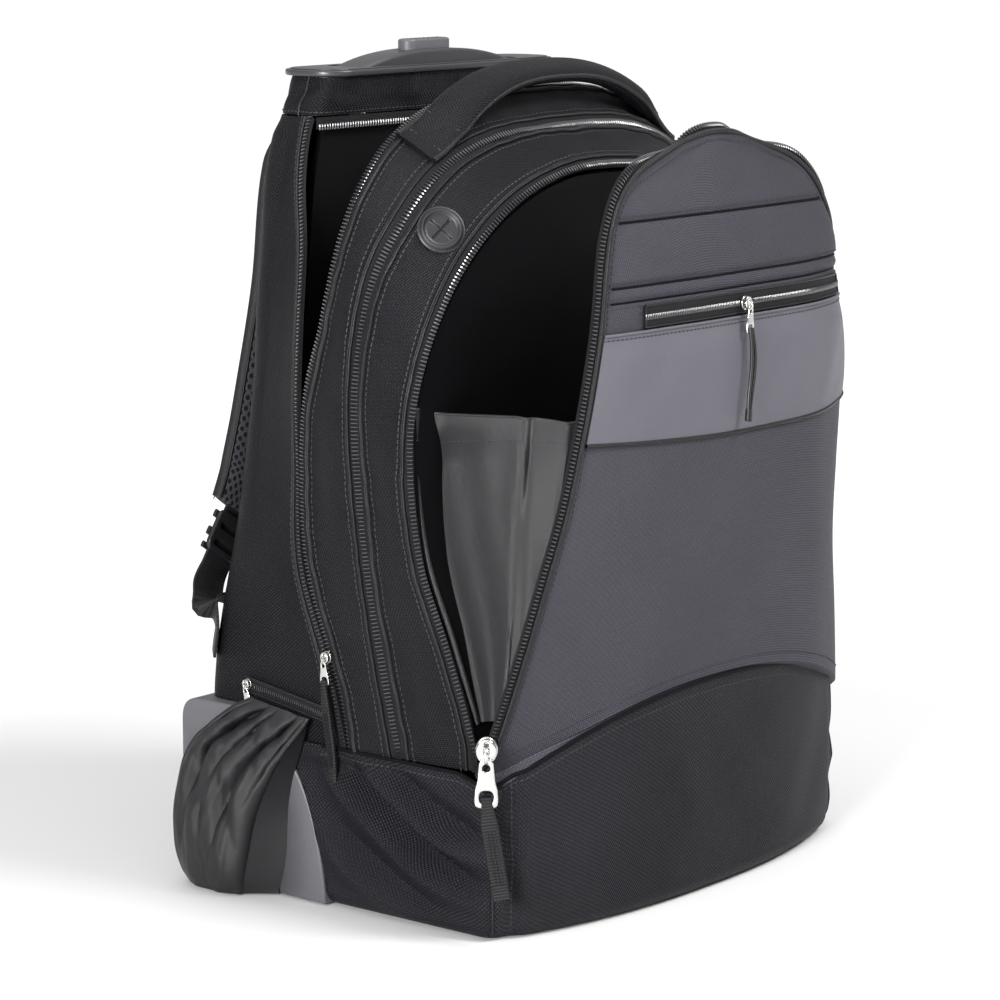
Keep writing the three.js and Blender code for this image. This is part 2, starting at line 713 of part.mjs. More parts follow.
function tyre() {
  const w = WHEEL_WIDTH / 2;
  const low = WHEEL_RADIUS - TYRE_THICK;
  return lathe([
    [low, -w],
    [WHEEL_RADIUS - 3, -w],
    [WHEEL_RADIUS, -w + 4],
    [WHEEL_RADIUS, w - 4],
    [WHEEL_RADIUS - 3, w],
    [low, w],
  ]);
}

function hub() {
  const w = WHEEL_WIDTH / 2 - 1;
  const rim = WHEEL_RADIUS - TYRE_THICK - GAP;
  const bore = AXLE_RADIUS + GAP;
  return lathe([
    [bore, -w],
    [bore + 6, -w + HUB_DISH],
    [rim - 4, -w + HUB_DISH],
    [rim, -w],
    [rim, w],
    [rim - 4, w - HUB_DISH],
    [bore + 6, w - HUB_DISH],
    [bore, w],
  ]);
}

function axle() {
  const pin = cylinder(AXLE_RADIUS, "x", WELL_WALL_X + GAP, WHEEL_MIDDLE + WHEEL_WIDTH / 2 + 1, WHEEL_Y, WHEEL_RADIUS);
  const headFrom = WHEEL_MIDDLE + WHEEL_WIDTH / 2 - 1 + GAP;
  const head = cylinder(AXLE_HEAD, "x", headFrom, headFrom + AXLE_HEAD_THICK, WHEEL_Y, WHEEL_RADIUS);
  return joined(pin, head);
}

for (const side of [1, -1]) {
  const name = side > 0 ? "right" : "left";
  const wheel = new THREE.Group();
  wheel.position.set(side * WHEEL_MIDDLE, WHEEL_Y, WHEEL_RADIUS);
  backpack.add(wheel);
  add("tyre_" + name, tyre(), RUBBER, wheel);
  add("hub_" + name, hub(), PLASTIC, wheel);
}
addPair("axle", axle(), AXLE_STEEL);

// Back section
const BACK_FOOT = BASE_HEIGHT + GAP;
const COLLAR_LOW = BACK_HEIGHT - COLLAR_HEIGHT;

// The back section seen from above at a height, from the right zip tape round the back to the left one
function backPath(z) {
  const at = z / BACK_HEIGHT;
  const half = HALF * along(BACK_ROWS, "half", at);
  const back = BACK_DEPTH * along(BACK_ROWS, "back", at);
  const edge = new THREE.Vector2(HALF * along(BACK_ROWS, "edge", at), BACK_DEPTH * along(BACK_ROWS, "edgeBack", at));
  const round = corner(half, back, BACK_CORNER, 0);
  const way = new THREE.Vector2(...round[0]).sub(edge).normalize();
  const side = [GAP, ZIP_TAPE, ZIP_TAPE + GAP].map((d) => edge.clone().addScaledVector(way, d).toArray());
  const right = [...side, [mix(edge.x, half, 0.5), mix(edge.y, back - BACK_CORNER, 0.5)], ...round, [half * 0.4, back]];
  return [...right, ...right.map(([x, y]) => [-x, y]).reverse()];
}

function backBand(from, to, count) {
  const grid = spread(from, to, count).map((z) => backPath(z).map(([x, y]) => V(x, y, z)));
  const normals = gridNormals(grid, false);
  const last = grid[0].length - 1;
  for (const row of normals)
    for (const [j, k] of [
      [1, 2],
      [last - 1, last - 2],
    ])
      row[j] = row[k] = V().addVectors(row[j], row[k]).normalize();
  return { grid, normals, last };
}

const spread = (from, to, count) => steps(count).map((s) => mix(from, to, s));
const BACK_STEPS = 8;
const back = backBand(BACK_FOOT, COLLAR_LOW - 3 * GAP, BACK_STEPS);
add(
  "back_shell",
  cut(strip(back, 2, back.last - 2, CLOTH), housingCut, mirrored(housingCut)),
  FABRIC,
);

function collar() {
  const rows = steps(2).map((s) => {
    const z = mix(COLLAR_LOW, BACK_HEIGHT, s);
    const path = backPath(z);
    const front = [-0.9, -0.3, 0.3, 0.9].map((share) => [share * path[0][0], COLLAR_FRONT]);
    return [...path, ...front].map(([x, y]) => V(x, y, z));
  });
  return sheet(rows, CLOTH, { wrap: true });
}
add("top_collar", collar(), FABRIC);

// Laptop compartment: its back wall, and the padded wall it shares with the main compartment
const LAPTOP_WALL_Y = TROLLEY_Y - TUBE_DEPTH / 2 - PADDED_WALL - 1.5;
const WALL_FOOT = CLOTH + 2.5;

function laptopWall() {
  const clear = HOUSING_HEIGHT + 4;
  const heights = [WALL_FOOT, clear, ...spread(clear + 1, COLLAR_LOW - 4, 5)];
  const rows = heights.map((z) => {
    const half = HALF * along(BACK_ROWS, "half", Math.max(z, BACK_FOOT) / BACK_HEIGHT) - CLOTH - 6;
    const reach = z > clear ? half : Math.min(half, HOUSING_INSIDE - 3);
    return steps(2).map((c) => V(mix(-reach, reach, c), LAPTOP_WALL_Y, z));
  });
  return sheet(rows, PADDED_WALL);
}
add("laptop_wall", laptopWall(), LINING_CLOTH);

function mainWall() {
  const arch = archPoints(LAPTOP_ARCH, BACK_FOOT, -2, -WALL_INSET - 3);
  const rows = wallGrid(arch, 4);
  const foot = rows[0];
  const below = steps(3)
    .slice(0, -1)
    .map((s) => foot.map((p) => V(p.x * 0.985, p.y, mix(WALL_FOOT, BACK_FOOT, s))));
  return sheet([...below, ...rows], PADDED_WALL);
}
add("main_wall", mainWall(), LINING_CLOTH);

// Main compartment and front compartment
const ZIP_HALF = MAIN_ZIP_WIDTH / 2;
const CROWN = 2.5;
const mainBand = band(LAPTOP_ARCH, MAIN_ARCH, BACK_FOOT, CROWN, [
  fromRear(GAP),
  fromRear(ZIP_TAPE),
  fromRear(ZIP_TAPE + GAP),
  atShare(0.5),
  fromFront(ZIP_HALF + GAP),
  fromFront(ZIP_HALF),
  atShare(1),
], [1, 4]);
const frontBand = band(MAIN_ARCH, FRONT_ARCH, BACK_FOOT, CROWN, [
  atShare(0),
  fromRear(ZIP_HALF),
  fromRear(ZIP_HALF + GAP),
  atShare(0.5),
  fromFront(ZIP_TAPE + GAP),
  fromFront(ZIP_TAPE),
  fromFront(GAP),
], [1, 4]);

function mainZip() {
  const columns = [
    [mainBand, 5],
    [mainBand, 6],
    [frontBand, 1],
  ];
  const pick = (key) => mainBand.grid.map((_, i) => columns.map(([from, j]) => from[key][i][j]));
  return sheet(pick("grid"), ZIP_WALL, { proud: ZIP_PROUD, normals: pick("normals") });
}

add("laptop_zip_front", strip(mainBand, 0, 1, ZIP_WALL, ZIP_PROUD), ZIP);
add("main_gusset", strip(mainBand, 2, 4, CLOTH), GUSSET);
add("main_zip", mainZip(), ZIP);
add("front_zip_body", strip(frontBand, 5, 6, ZIP_WALL, ZIP_PROUD), ZIP);

// Where the cable port sits on the front gusset, and the way it faces
function portPlace() {
  const row = Math.round(PORT_STEP * (frontBand.grid.length - 1));
  return { at: frontBand.grid[row][3], normal: frontBand.normals[row][3] };
}
const PORT = portPlace();
const portTurn = new THREE.Quaternion().setFromUnitVectors(V(0, 0, 1), PORT.normal);
const placedAtPort = (geometry) => geometry.applyQuaternion(portTurn).translate(...PORT.at.toArray());
const portHole = placedAtPort(cylinder(PORT_RADIUS + GAP, "z", -PORT_DEEP, PORT_DEEP, 0, 0));
add("front_gusset", cut(strip(frontBand, 2, 4, CLOTH), portHole), GUSSET);

function cablePort() {
  const disc = cylinder(PORT_RADIUS, "z", -PORT_THICK, PORT_THICK / 2, 0, 0);
  const dish = cylinder(PORT_RADIUS - PORT_RING, "z", 0, PORT_DEEP, 0, 0);
  const slit = PORT_RADIUS - PORT_RING - 1;
  const bar = new THREE.BoxGeometry(2 * slit, PORT_SLIT, 3 * PORT_DEEP);
  const turned = (angle) => bar.clone().rotateZ(angle);
  return placedAtPort(cut(disc, dish, turned(Math.PI / 4), turned(-Math.PI / 4)));
}
add("cable_port", cablePort(), RUBBER);

// Back wall of the front pocket, with the pocket's floor running forward to the base seam
function frontWall() {
  const arch = archPoints(FRONT_ARCH, BASE_HEIGHT + POCKET_FLOOR, CLOTH + 2, -WALL_INSET);
  const rows = wallGrid(arch, 4);
  const foot = rows[0];
  const ahead = [0, 0.5].map((s) =>
    foot.map((p) => {
      const x = p.x * mix(0.9, 1, s);
      const seam = V(x, frontLine(x) + CLOTH + 4, seamHeight(Math.abs(x), -FRONT_DEPTH) - 4);
      return seam.lerp(p, s);
    }),
  );
  return sheet([...ahead, ...rows], CLOTH);
}
add("front_wall", frontWall(), LINING_CLOTH);

// Rear tape of the laptop zip: up one side, across under the collar and down the other side
function laptopZipBack() {
  const sideTape = (from, to) => strip(back, from, to, ZIP_WALL, ZIP_PROUD);
  const top = COLLAR_LOW - 3 * GAP;
  const over = [top, top - ZIP_TAPE].map((z) => {
    const path = backPath(z);
    const [x] = path[0];
    const front = [0.92, 0.5, 0, -0.5, -0.92].map((share) => [share * x, COLLAR_FRONT]);
    return [path[1], path[0], ...front, path[path.length - 1], path[path.length - 2]].map(([a, b]) => V(a, b, z));
  });
  const across = sheet(over.map((row) => [...row].reverse()), ZIP_WALL, { proud: ZIP_PROUD });
  return joined(sideTape(0, 1), sideTape(back.last - 1, back.last), across);
}
add("laptop_zip_back", laptopZipBack(), ZIP);

// Front flap
const flapCurves = new Map();
const flapHeight = (t, seam) => mix(mix(seam + SEAM_GAP, BASE_HEIGHT + FLAP_LEVEL, Math.min(t / 0.3, 1)), FLAP_TOP, t);

function flapCurve(t) {
  if (!flapCurves.has(t)) {
    const read = (column) => along(FLAP_ROWS, column, t);
    const [left, leftFore, fore] = ["left", "leftFore", "fore"].map(read);
    const [corner, cornerFore, freeRight, freeRightFore] = ["corner", "cornerFore", "right", "rightFore"].map(read);
    const open = Math.min(Math.max((t - FLAP_CLOSED) / (FLAP_FREE - FLAP_CLOSED), 0), 1);
    const closed = archDepth(FRONT_ARCH, flapHeight(t, BASE_HEIGHT)) - ZIP_TAPE - 3 * GAP;
    const right = mix(FRONT_ARCH.half, freeRight, open);
    const rightFore = mix(-closed / FLAP_REACH, freeRightFore, open);
    const places = [
      [left, leftFore],
      [left * 0.62, mix(leftFore, fore, 0.75)],
      [mix(left, corner, 0.52), fore],
      [corner * 0.68, mix(cornerFore, fore, 0.8)],
      [corner, cornerFore],
      [right, rightFore],
    ];
    flapCurves.set(t, new THREE.CatmullRomCurve3(places.map(([x, y]) => V(x * HALF, -y * FLAP_REACH, 0))));
  }
  return flapCurves.get(t);
}

// A point of the flap's outside: t runs up from the base seam, u from the free edge to the right.
function flapPoint(t, u) {
  const p = flapCurve(t).getPointAt(u);
  return V(p.x, p.y, flapHeight(t, seamHeight(Math.min(Math.abs(p.x), HALF), p.y)));
}

const flapGrid = (ts, us) => ts.map((t) => us.map((u) => flapPoint(t, u)));
const BAND_STEPS = spread(BAND_LOW, BAND_HIGH, 3);
const BAND_ACROSS = spread(BAND_FROM, BAND_TO, 8);
const FLAP_STEPS = [0, 0.06, 0.14, 0.24, 0.37, ...BAND_STEPS, 0.79, 0.88, 0.95, 1];
const FLAP_ACROSS = [0, ...BAND_ACROSS, 0.93, 1];
const flapSurface = flapGrid(FLAP_STEPS, FLAP_ACROSS);
const flapNormals = gridNormals(flapSurface, false);
add("front_flap", sheet(flapSurface, FLAP_WALL, { normals: flapNormals }), FABRIC);

// The flap's edge from its foot on the left, over its top, to its foot on the right: each point with the
// way out of the flap beside it and the way the cloth faces.
function flapEdge() {
  const last = FLAP_STEPS.length - 1;
  const far = FLAP_ACROSS.length - 1;
  const at = (i, j, inI, inJ) => {
    const edge = flapSurface[i][j];
    const out = V().subVectors(edge, flapSurface[inI][inJ]).normalize();
    return { edge, out, normal: flapNormals[i][j] };
  };
  const rows = FLAP_STEPS.map((_, i) => i);
  const left = rows.map((i) => at(i, 0, i, 1));
  const top = [Math.round(far / 3), Math.round((2 * far) / 3)].map((j) => at(last, j, last - 1, j));
  const right = rows.map((i) => at(i, far, i, far - 1)).reverse();
  return [...left, ...top, ...right];
}

function flapZip() {
  const edge = flapEdge();
  const grid = edge.map(({ edge: point, out }) =>
    [ZIP_TAPE, 2 * GAP].map((distance) => point.clone().addScaledVector(out, distance)),
  );
  return sheet(grid, ZIP_WALL, { proud: ZIP_PROUD, normals: edge.map(({ normal }) => [normal, normal]) });
}
add("front_zip_flap", flapZip(), ZIP);

// Lining web that spans the lower part of the opening, from the bag to the flap
function pocketWeb() {
  const rows = spread(0.07, WEB_TOP, 6).map((t) => {
    const flap = flapPoint(t, 0.035);
    const z = mix(BASE_HEIGHT + 24, flap.z + 6, t / WEB_TOP);
    const body = V(-FRONT_ARCH.half * HALF + ZIP_WALL + GAP, archDepth(FRONT_ARCH, z) - 1.5, z);
    const end = V(flap.x + 4, flap.y + FLAP_WALL + 1.6, flap.z);
    return steps(5).map((s) => {
      const fold = WEB_FOLD * Math.sin(Math.PI * s) * (t / WEB_TOP) * (1 + 0.6 * Math.sin(3 * Math.PI * s));
      return body.clone().lerp(end, s).add(V(fold, 0, -0.4 * fold));
    });
  });
  return sheet(rows, LINING);
}
add("pocket_web", pocketWeb(), LINING_CLOTH);

// Smooth band over the flap, open at the top as a phone pocket
function phoneBand() {
  const first = FLAP_STEPS.indexOf(BAND_LOW);
  const top = BAND_STEPS.length - 1;
  const raised = BAND_STEPS.map((_, i) =>
    BAND_ACROSS.map((u, j) => {
      const across = (u - BAND_FROM) / (BAND_TO - BAND_FROM);
      const lift = Math.sin((Math.PI / 2) * (i / top)) * (1 - Math.abs(2 * across - 1) ** 5);
      const drop = BAND_SAG * Math.sin(Math.PI * across) * (1 - i / top);
      const distance = BAND_WALL + 2 * GAP + lift * BAND_STANDOFF;
      const p = flapSurface[first + i][j + 1].clone();
      return p.addScaledVector(flapNormals[first + i][j + 1], distance).add(V(0, 0, -drop));
    }),
  );
  return sheet(raised, BAND_WALL);
}
add("phone_band", phoneBand(), SATIN);

function phoneZip() {
  const ts = [BAND_HIGH + 0.012, BAND_HIGH + 0.036];
  return sheet(flapGrid(ts, BAND_ACROSS.slice(1, -1)), ZIP_WALL / 2, { proud: 3 * GAP + ZIP_WALL / 2 });
}
add("phone_zip", phoneZip(), ZIP);

// Zip sliders and pulls: x runs across a slider, y up its zip and z out of the cloth
function sliderForm(size) {
  const body = prism(roundedRectangle(0.62 * size, size, 0.2 * size), "z", 0, 0.6 * size, 0, 1);
  const plate = roundedRectangle(0.62 * size, 2.3 * size, 0.28 * size, 0, -1.45 * size);
  const hole = new THREE.Path();
  hole.absarc(0, -2.15 * size, 0.17 * size, 0, 2 * Math.PI);
  plate.holes.push(hole);
  return joined(body, prism(plate, "z", 0.5 * size, 0.5 * size + PULLER_THICK, 0, 2));
}

function pullForm(size, width, length) {
  const outline = roundedRectangle(width, length, 0.3 * width, 0, -2.6 * size - GAP - length / 2);
  const middle = 0.5 * size + PULLER_THICK / 2;
  return prism(outline, "z", middle - PULL_THICK / 2, middle + PULL_THICK / 2, 0, 1);
}

// Sets a form on the bag at a place, with its z axis out of the cloth and its y axis up the zip.
function seated(geometry, at, out, up) {
  const z = out.clone().normalize();
  const y = up.clone().addScaledVector(z, -up.dot(z)).normalize();
  const x = V().crossVectors(y, z);
  return geometry.clone().applyMatrix4(new THREE.Matrix4().makeBasis(x, y, z).setPosition(at));
}

for (const { name, size, at, out, up, pull } of sliderPlaces()) {
  add(name + "_slider", seated(sliderForm(size), at, out, up), CHROME);
  if (pull) add(name + "_pull", seated(pullForm(size, pull.width, pull.length), at, out, up), WEBBING);
}

function sliderPlaces() {
  const flapOut = (t, u) => {
    const [[a, b], [c]] = flapGrid([t, t + 0.02], [u, Math.min(u + 0.02, 1)]);
    const normal = V().crossVectors(V().subVectors(b, a), V().subVectors(c, a)).normalize();
    return normal.y > 0 ? normal.negate() : normal;
  };
  const onFlap = (t, u, height) => flapPoint(t, u).addScaledVector(flapOut(t, u), height);
  const places = [
    {
      name: "front",
      size: 16,
      at: flapPoint(0.045, 0).add(V(-9.6, 4.6, 0)),
      out: V(-0.8, -0.6, 0),
      up: V(0, 0, 1),
      pull: { width: 10, length: 52 },
    },
    {
      name: "phone",
      size: 9,
      at: onFlap(BAND_HIGH + 0.024, 0.46, ZIP_WALL / 2 + 5 * GAP),
      out: flapOut(BAND_HIGH, 0.46),
      up: V(0.1, 0, 1),
      pull: { width: 8, length: 44 },
    },
  ];
  for (const side of [1, -1]) {
    const name = side > 0 ? "right" : "left";
    const z = LAPTOP_SLIDER_Z;
    places.push({
      name: "laptop_" + name,
      size: 8,
      at: V(side * (LAPTOP_ARCH.half * HALF + ZIP_PROUD + 2 * GAP), archDepth(LAPTOP_ARCH, z), z),
      out: V(side, 0, 0),
      up: V(0, 0.1, 1),
      pull: { width: 4, length: 52 },
    });
    places.push({
      name: "pocket_" + name,
      size: 7,
      at:
        side > 0
          ? sidePoint(side, POCKET_SLIDER_FRONT, POCKET_ZIP_LOW + 1, 3 * GAP + ZIP_WALL / 2)
          : sidePoint(side, POCKET_SLIDER_BACK, POCKET_ZIP_HIGH, 3 * GAP + ZIP_WALL / 2),
      out: V(side, 0, 0),
      up: V(0, 0.3, 1),
    });
  }
  places.push({
    name: "front_right",
    size: 9,
    at: V(FRONT_ARCH.half * HALF + 2 * GAP, archDepth(FRONT_ARCH, FRONT_SLIDER_Z), FRONT_SLIDER_Z),
    out: V(1, 0, 0),
    up: V(0, 0, 1),
    pull: { width: 8, length: 44 },
  });
  return places;
}

// Side pockets over the wheels, closed by slanting zips
function sidePoint(side, y, z, out) {
  const [edge, , corner] = backPath(z);
  const share = (y - edge[1]) / (corner[1] - edge[1]);
  return V(side * (mix(edge[0], corner[0], share) + out), y, z);
}

function pocketZipHeight(y) {
  const share = (POCKET_ZIP_BACK - y) / (POCKET_ZIP_BACK - POCKET_ZIP_FRONT);
  return mix(POCKET_ZIP_HIGH, POCKET_ZIP_LOW, share);
}

for (const side of [1, -1]) {
  const name = side > 0 ? "right" : "left";
  const grid = [0.5, -0.5].map((rise) =>
    spread(POCKET_ZIP_BACK, POCKET_ZIP_FRONT, 5).map((y) =>
      sidePoint(side, y, pocketZipHeight(y) + rise * POCKET_ZIP_WIDTH, 2 * GAP + ZIP_WALL / 2),
    ),
  );
  const turned = side > 0 ? grid : grid.map((row) => [...row].reverse());
  add("pocket_zip_" + name, sheet(turned, ZIP_WALL / 2), ZIP);
}

// Grab handle: a padded arch whose ends are sewn to the main gusset
function grabHandle() {
  const onGusset = (i) => {
    const at = mainBand.grid[i][3].clone().addScaledVector(mainBand.normals[i][3], GRAB_THICK / 2 + 2 * GAP);
    return { at, side: V().subVectors(mainBand.grid[i][2], mainBand.grid[i][4]).normalize() };
  };
  const first = ARCH_SIDE_STEPS + GRAB_STEP;
  const last = mainBand.grid.length - 1;
  const from = onGusset(first + 1);
  const arch = steps(10).map((s) => {
    const rise = 1 - Math.abs(2 * s - 1) ** 2.6;
    const x = mix(from.at.x, -from.at.x, s);
    const y = mix(from.at.y, GRAB_DEPTH, rise);
    const z = mix(from.at.z, GRAB_TOP - GRAB_THICK / 2, rise);
    return { at: V(x, y, z), side: V(mix(from.side.x, 0, rise) * Math.sign(-x), 1, mix(0.6, 0.25, rise)) };
  });
  const route = [onGusset(first), ...arch, onGusset(last - first)];
  return strap(
    route.map(({ at }) => at),
    route.map(({ side }) => side),
    GRAB_WIDTH,
    GRAB_THICK,
  );
}
add("grab_handle", grabHandle(), NYLON);

// Trolley: two legs of three tubes each, a grip across them and a cap with a nest for the grip
const NEST_TOP = GRIP_BOTTOM - GAP;
const NEST_LOW = NEST_TOP - NEST_FLOOR;

// The tube of a stage, 0 for the fixed one: its outside, or its bore
function tubeForm(stage, side, from, to, bore = false) {
  const less = 2 * stage * (TUBE_WALL + TUBE_CLEARANCE) + (bore ? 2 * TUBE_WALL : 0);
  const [width, depth] = [TUBE_WIDTH - less, TUBE_DEPTH - less];
  const radius = Math.max(TUBE_CORNER - less / 2, 0.8);
  return prism(roundedRectangle(width, depth, radius, (side * TUBE_SPREAD) / 2, TROLLEY_Y), "z", from, to, 0, 1);
}

function tube(stage, side, from, to) {
  return cut(tubeForm(stage, side, from, to), tubeForm(stage, side, from - 1, to + 1, true));
}

function tubeFrame() {
  const low = CLOTH + 2 * GAP;
  const top = NEST_LOW - GAP;
  const footY = TROLLEY_Y - TUBE_DEPTH / 2 - 1 + FOOT_DEPTH / 2;
  const foot = prism(roundedRectangle(FOOT_WIDTH, FOOT_DEPTH, 4, 0, footY), "z", low, low + FOOT_HEIGHT, 0, 1);
  const legs = [1, -1].map((side) => tubeForm(0, side, low + 5, top));
  const bores = [1, -1].map((side) => tubeForm(0, side, TUBE_FLOOR, top + 1, true));
  return cut(joined(foot, ...legs), ...bores);
}
add("tube_frame", tubeFrame(), ALUMINIUM);

const GRIP_SOCKET_TOP = GRIP_BOTTOM + GRIP_SOCKET;
for (const side of [1, -1]) {
  const name = side > 0 ? "right" : "left";
  add("middle_tube_" + name, tube(1, side, TUBE_FLOOR + TUBE_STEP, GRIP_BOTTOM - GAP), ALUMINIUM);
  add("inner_tube_" + name, tube(2, side, TUBE_FLOOR + 2 * TUBE_STEP, GRIP_SOCKET_TOP - GAP), ALUMINIUM);
}

function buttonForm(grow, from, to) {
  const outline = roundedRectangle(BUTTON_WIDTH + grow, BUTTON_DEPTH + grow, BUTTON_DEPTH / 2, 0, TROLLEY_Y);
  return prism(outline, "z", from, to, grow ? 0 : 1.2, 3);
}

function grip() {
  const half = GRIP_WIDTH / 2;
  const crown = steps(10).map((s) => {
    const x = mix(half, -half, s);
    return new THREE.Vector2(x, mix(GRIP_END, GRIP_CROWN, 1 - Math.abs(x / half) ** 2.4));
  });
  const outline = [new THREE.Vector2(-half, GRIP_BOTTOM), new THREE.Vector2(half, GRIP_BOTTOM), ...crown];
  const body = prism(outline, "y", TROLLEY_Y - GRIP_DEPTH / 2, TROLLEY_Y + GRIP_DEPTH / 2, 1.5);
  const sockets = [1, -1].map((side) => {
    const less = 4 * (TUBE_WALL + TUBE_CLEARANCE) - 2 * GAP;
    const [width, depth] = [TUBE_WIDTH - less, TUBE_DEPTH - less];
    const outlineOfTube = roundedRectangle(width, depth, 1, (side * TUBE_SPREAD) / 2, TROLLEY_Y);
    return prism(outlineOfTube, "z", GRIP_BOTTOM - 1, GRIP_SOCKET_TOP, 0, 1);
  });
  const pocket = buttonForm(2 * GAP, BUTTON_TOP - BUTTON_HEIGHT - BUTTON_TRAVEL - GAP, BUTTON_TOP + 1);
  return cut(body, ...sockets, pocket);
}
add("grip", grip(), PLASTIC);
add("push_button", buttonForm(0, BUTTON_TOP - BUTTON_HEIGHT, BUTTON_TOP), CHROME);

function trolleyCap() {
  const low = BACK_HEIGHT + GAP;
  const plate = prism(roundedRectangle(CAP_WIDTH, CAP_DEPTH, CAP_CORNER, 0, CAP_Y), "z", low, low + CAP_PLATE, 1, 3);
  const [[edge]] = backPath(BACK_HEIGHT);
  const inside = edge - CLOTH - 2 * GAP;
  const [front, rear] = [COLLAR_FRONT + CLOTH + 2 * GAP, BACK_DEPTH - CLOTH - 2 * GAP];
  const ring = (less) => {
    const middle = (front + rear) / 2;
    return roundedRectangle(2 * (inside - less), rear - front - 2 * less, BACK_CORNER - CLOTH - less, 0, middle);
  };
  const skirtTop = low + CAP_PLATE / 2;
  const skirtLow = skirtTop - CAP_SKIRT;
  const skirtHollow = prism(ring(CAP_WALL), "z", skirtLow - 1, skirtTop + 1, 0, 2);
  const skirt = cut(prism(ring(0), "z", skirtLow, skirtTop, 0, 2), skirtHollow);
  const nest = (grow) =>
    roundedRectangle(GRIP_WIDTH + 2 * grow, GRIP_DEPTH + 2 * grow, 3 + grow, 0, TROLLEY_Y);
  const nestBlock = prism(nest(GRIP_CLEARANCE + CAP_WALL), "z", NEST_LOW, low + 1, 0, 1);
  const nestHollow = prism(nest(GRIP_CLEARANCE), "z", NEST_TOP, low + CAP_PLATE + 1, 0, 1);
  const holes = [1, -1].map((side) => tubeForm(0, side, NEST_LOW - 1, NEST_TOP + 1, true));
  return cut(joined(plate, skirt, nestBlock), nestHollow, ...holes);
}
add("trolley_cap", trolleyCap(), PLASTIC);

// Back pad: it follows the back panel's flare
const panelHeights = spread(BACK_FOOT, COLLAR_LOW - 3 * GAP, BACK_STEPS);

function panelDepth(z) {
  const step = panelHeights[1] - panelHeights[0];
  const i = Math.min(Math.max(Math.floor((z - panelHeights[0]) / step), 0), BACK_STEPS - 1);
  const [low, high] = [panelHeights[i], panelHeights[i + 1]].map((at) => along(BACK_ROWS, "back", at / BACK_HEIGHT));
  return BACK_DEPTH * mix(low, high, (z - panelHeights[i]) / step);
}

function backPad() {
  const [low, high] = [PAD_LOW + PAD_CORNER, PAD_HIGH - PAD_CORNER];
  const between = panelHeights.filter((z) => z > low + 1 && z < high - 1);
  const heights = [PAD_LOW, low, ...between, high, PAD_HIGH];
  const rows = heights.map((z) => {
    const half = PAD_HALF - (z === PAD_LOW || z === PAD_HIGH ? PAD_CORNER : 0);
    return steps(2).map((c) => V(mix(half, -half, c), panelDepth(z) + 2 * GAP + PAD_THICK, z));
  });
  const normals = rows.map((row) => row.map(() => V(0, 1, 0)));
  return sheet(rows, PAD_THICK, { normals });
}
add("back_pad", backPad(), MESH_CLOTH);

// Shoulder straps lie against the back. Webbing runs from each strap's end through a buckle to the back's corner.
const padFace = (z) => panelDepth(Math.max(z, PAD_LOW)) + 2 * GAP + PAD_THICK;

const STRAP_REST = 240; // height from which the strap hangs straight down

function strapRoute() {
  return steps(10).map((s) => {
    const z = mix(STRAP_TOP, STRAP_LOW, s);
    const off = (0.5 + along(STRAP_ROWS, "off", s)) * STRAP_THICK;
    return V(HALF * along(STRAP_ROWS, "out", s), padFace(Math.max(z, STRAP_REST)) + GAP + off, z);
  });
}
const strapLine = strapRoute();
const strapEnd = strapLine[strapLine.length - 1];
const strapSide = V(1, 0, 0.12);
const strapTaper = (s) => along(STRAP_ROWS, "wide", s);
const strapForm = strap(strapLine, strapLine.map(() => strapSide), STRAP_WIDTH, STRAP_THICK, 0.3, strapTaper);
addPair("strap", strapForm, MESH_CLOTH);

// Place on the flat in the middle of the back's rear corner, at a height
function backCorner(z) {
  const [[ax, ay], [bx, by]] = backPath(z).slice(5, 7);
  const out = V(Math.SQRT1_2, Math.SQRT1_2, 0);
  return V((ax + bx) / 2, (ay + by) / 2, z).addScaledVector(out, WEBBING_THICK / 2 + 3 * GAP);
}

const webbingWay = V().subVectors(strapEnd, strapLine[strapLine.length - 2]).normalize();
const webbingSide = strapSide.clone().addScaledVector(webbingWay, -strapSide.dot(webbingWay)).normalize();
const webbingFace = V().crossVectors(webbingWay, webbingSide);
const alongWebbing = (distance) => strapEnd.clone().addScaledVector(webbingWay, distance);
const BUCKLE_FROM = 5; // past the strap's end
const BUCKLE_TO = BUCKLE_FROM + BUCKLE_LENGTH;

function webbing() {
  const straight = [2 * GAP, BUCKLE_FROM, BUCKLE_TO, BUCKLE_TO + 8].map(alongWebbing);
  const corner = V(-0.7, 0.7, 0);
  const sewn = [WEBBING_TOP, WEBBING_LOW].map(backCorner);
  const from = straight[straight.length - 1];
  const leave = from.clone().addScaledVector(webbingWay, WEBBING_SLACK);
  const arrive = sewn[0].clone().add(V(0, 0, WEBBING_SLACK));
  const turn = new THREE.CubicBezierCurve3(from, leave, arrive, sewn[0]).getPoints(8).slice(1, -1);
  const sides = [
    ...straight.map(() => webbingSide),
    ...turn.map((_, i) => webbingSide.clone().lerp(corner, (i + 1) / (turn.length + 1))),
    ...sewn.map(() => corner),
  ];
  return strap([...straight, ...turn, ...sewn], sides, WEBBING_WIDTH, WEBBING_THICK);
}
addPair("webbing", webbing(), WEBBING);

function buckle() {
  const plate = roundedRectangle(BUCKLE_WIDTH, BUCKLE_LENGTH, 5);
  const body = prism(plate, "z", -BUCKLE_THICK / 2, BUCKLE_THICK / 2, 1, 2);
  const channel = new THREE.BoxGeometry(WEBBING_WIDTH + 2 * GAP, 2 * BUCKLE_LENGTH, WEBBING_THICK + 2 * GAP);
  return seated(cut(body, channel), alongWebbing((BUCKLE_FROM + BUCKLE_TO) / 2), webbingFace, webbingWay);
}
addPair("buckle", buckle(), NYLON);

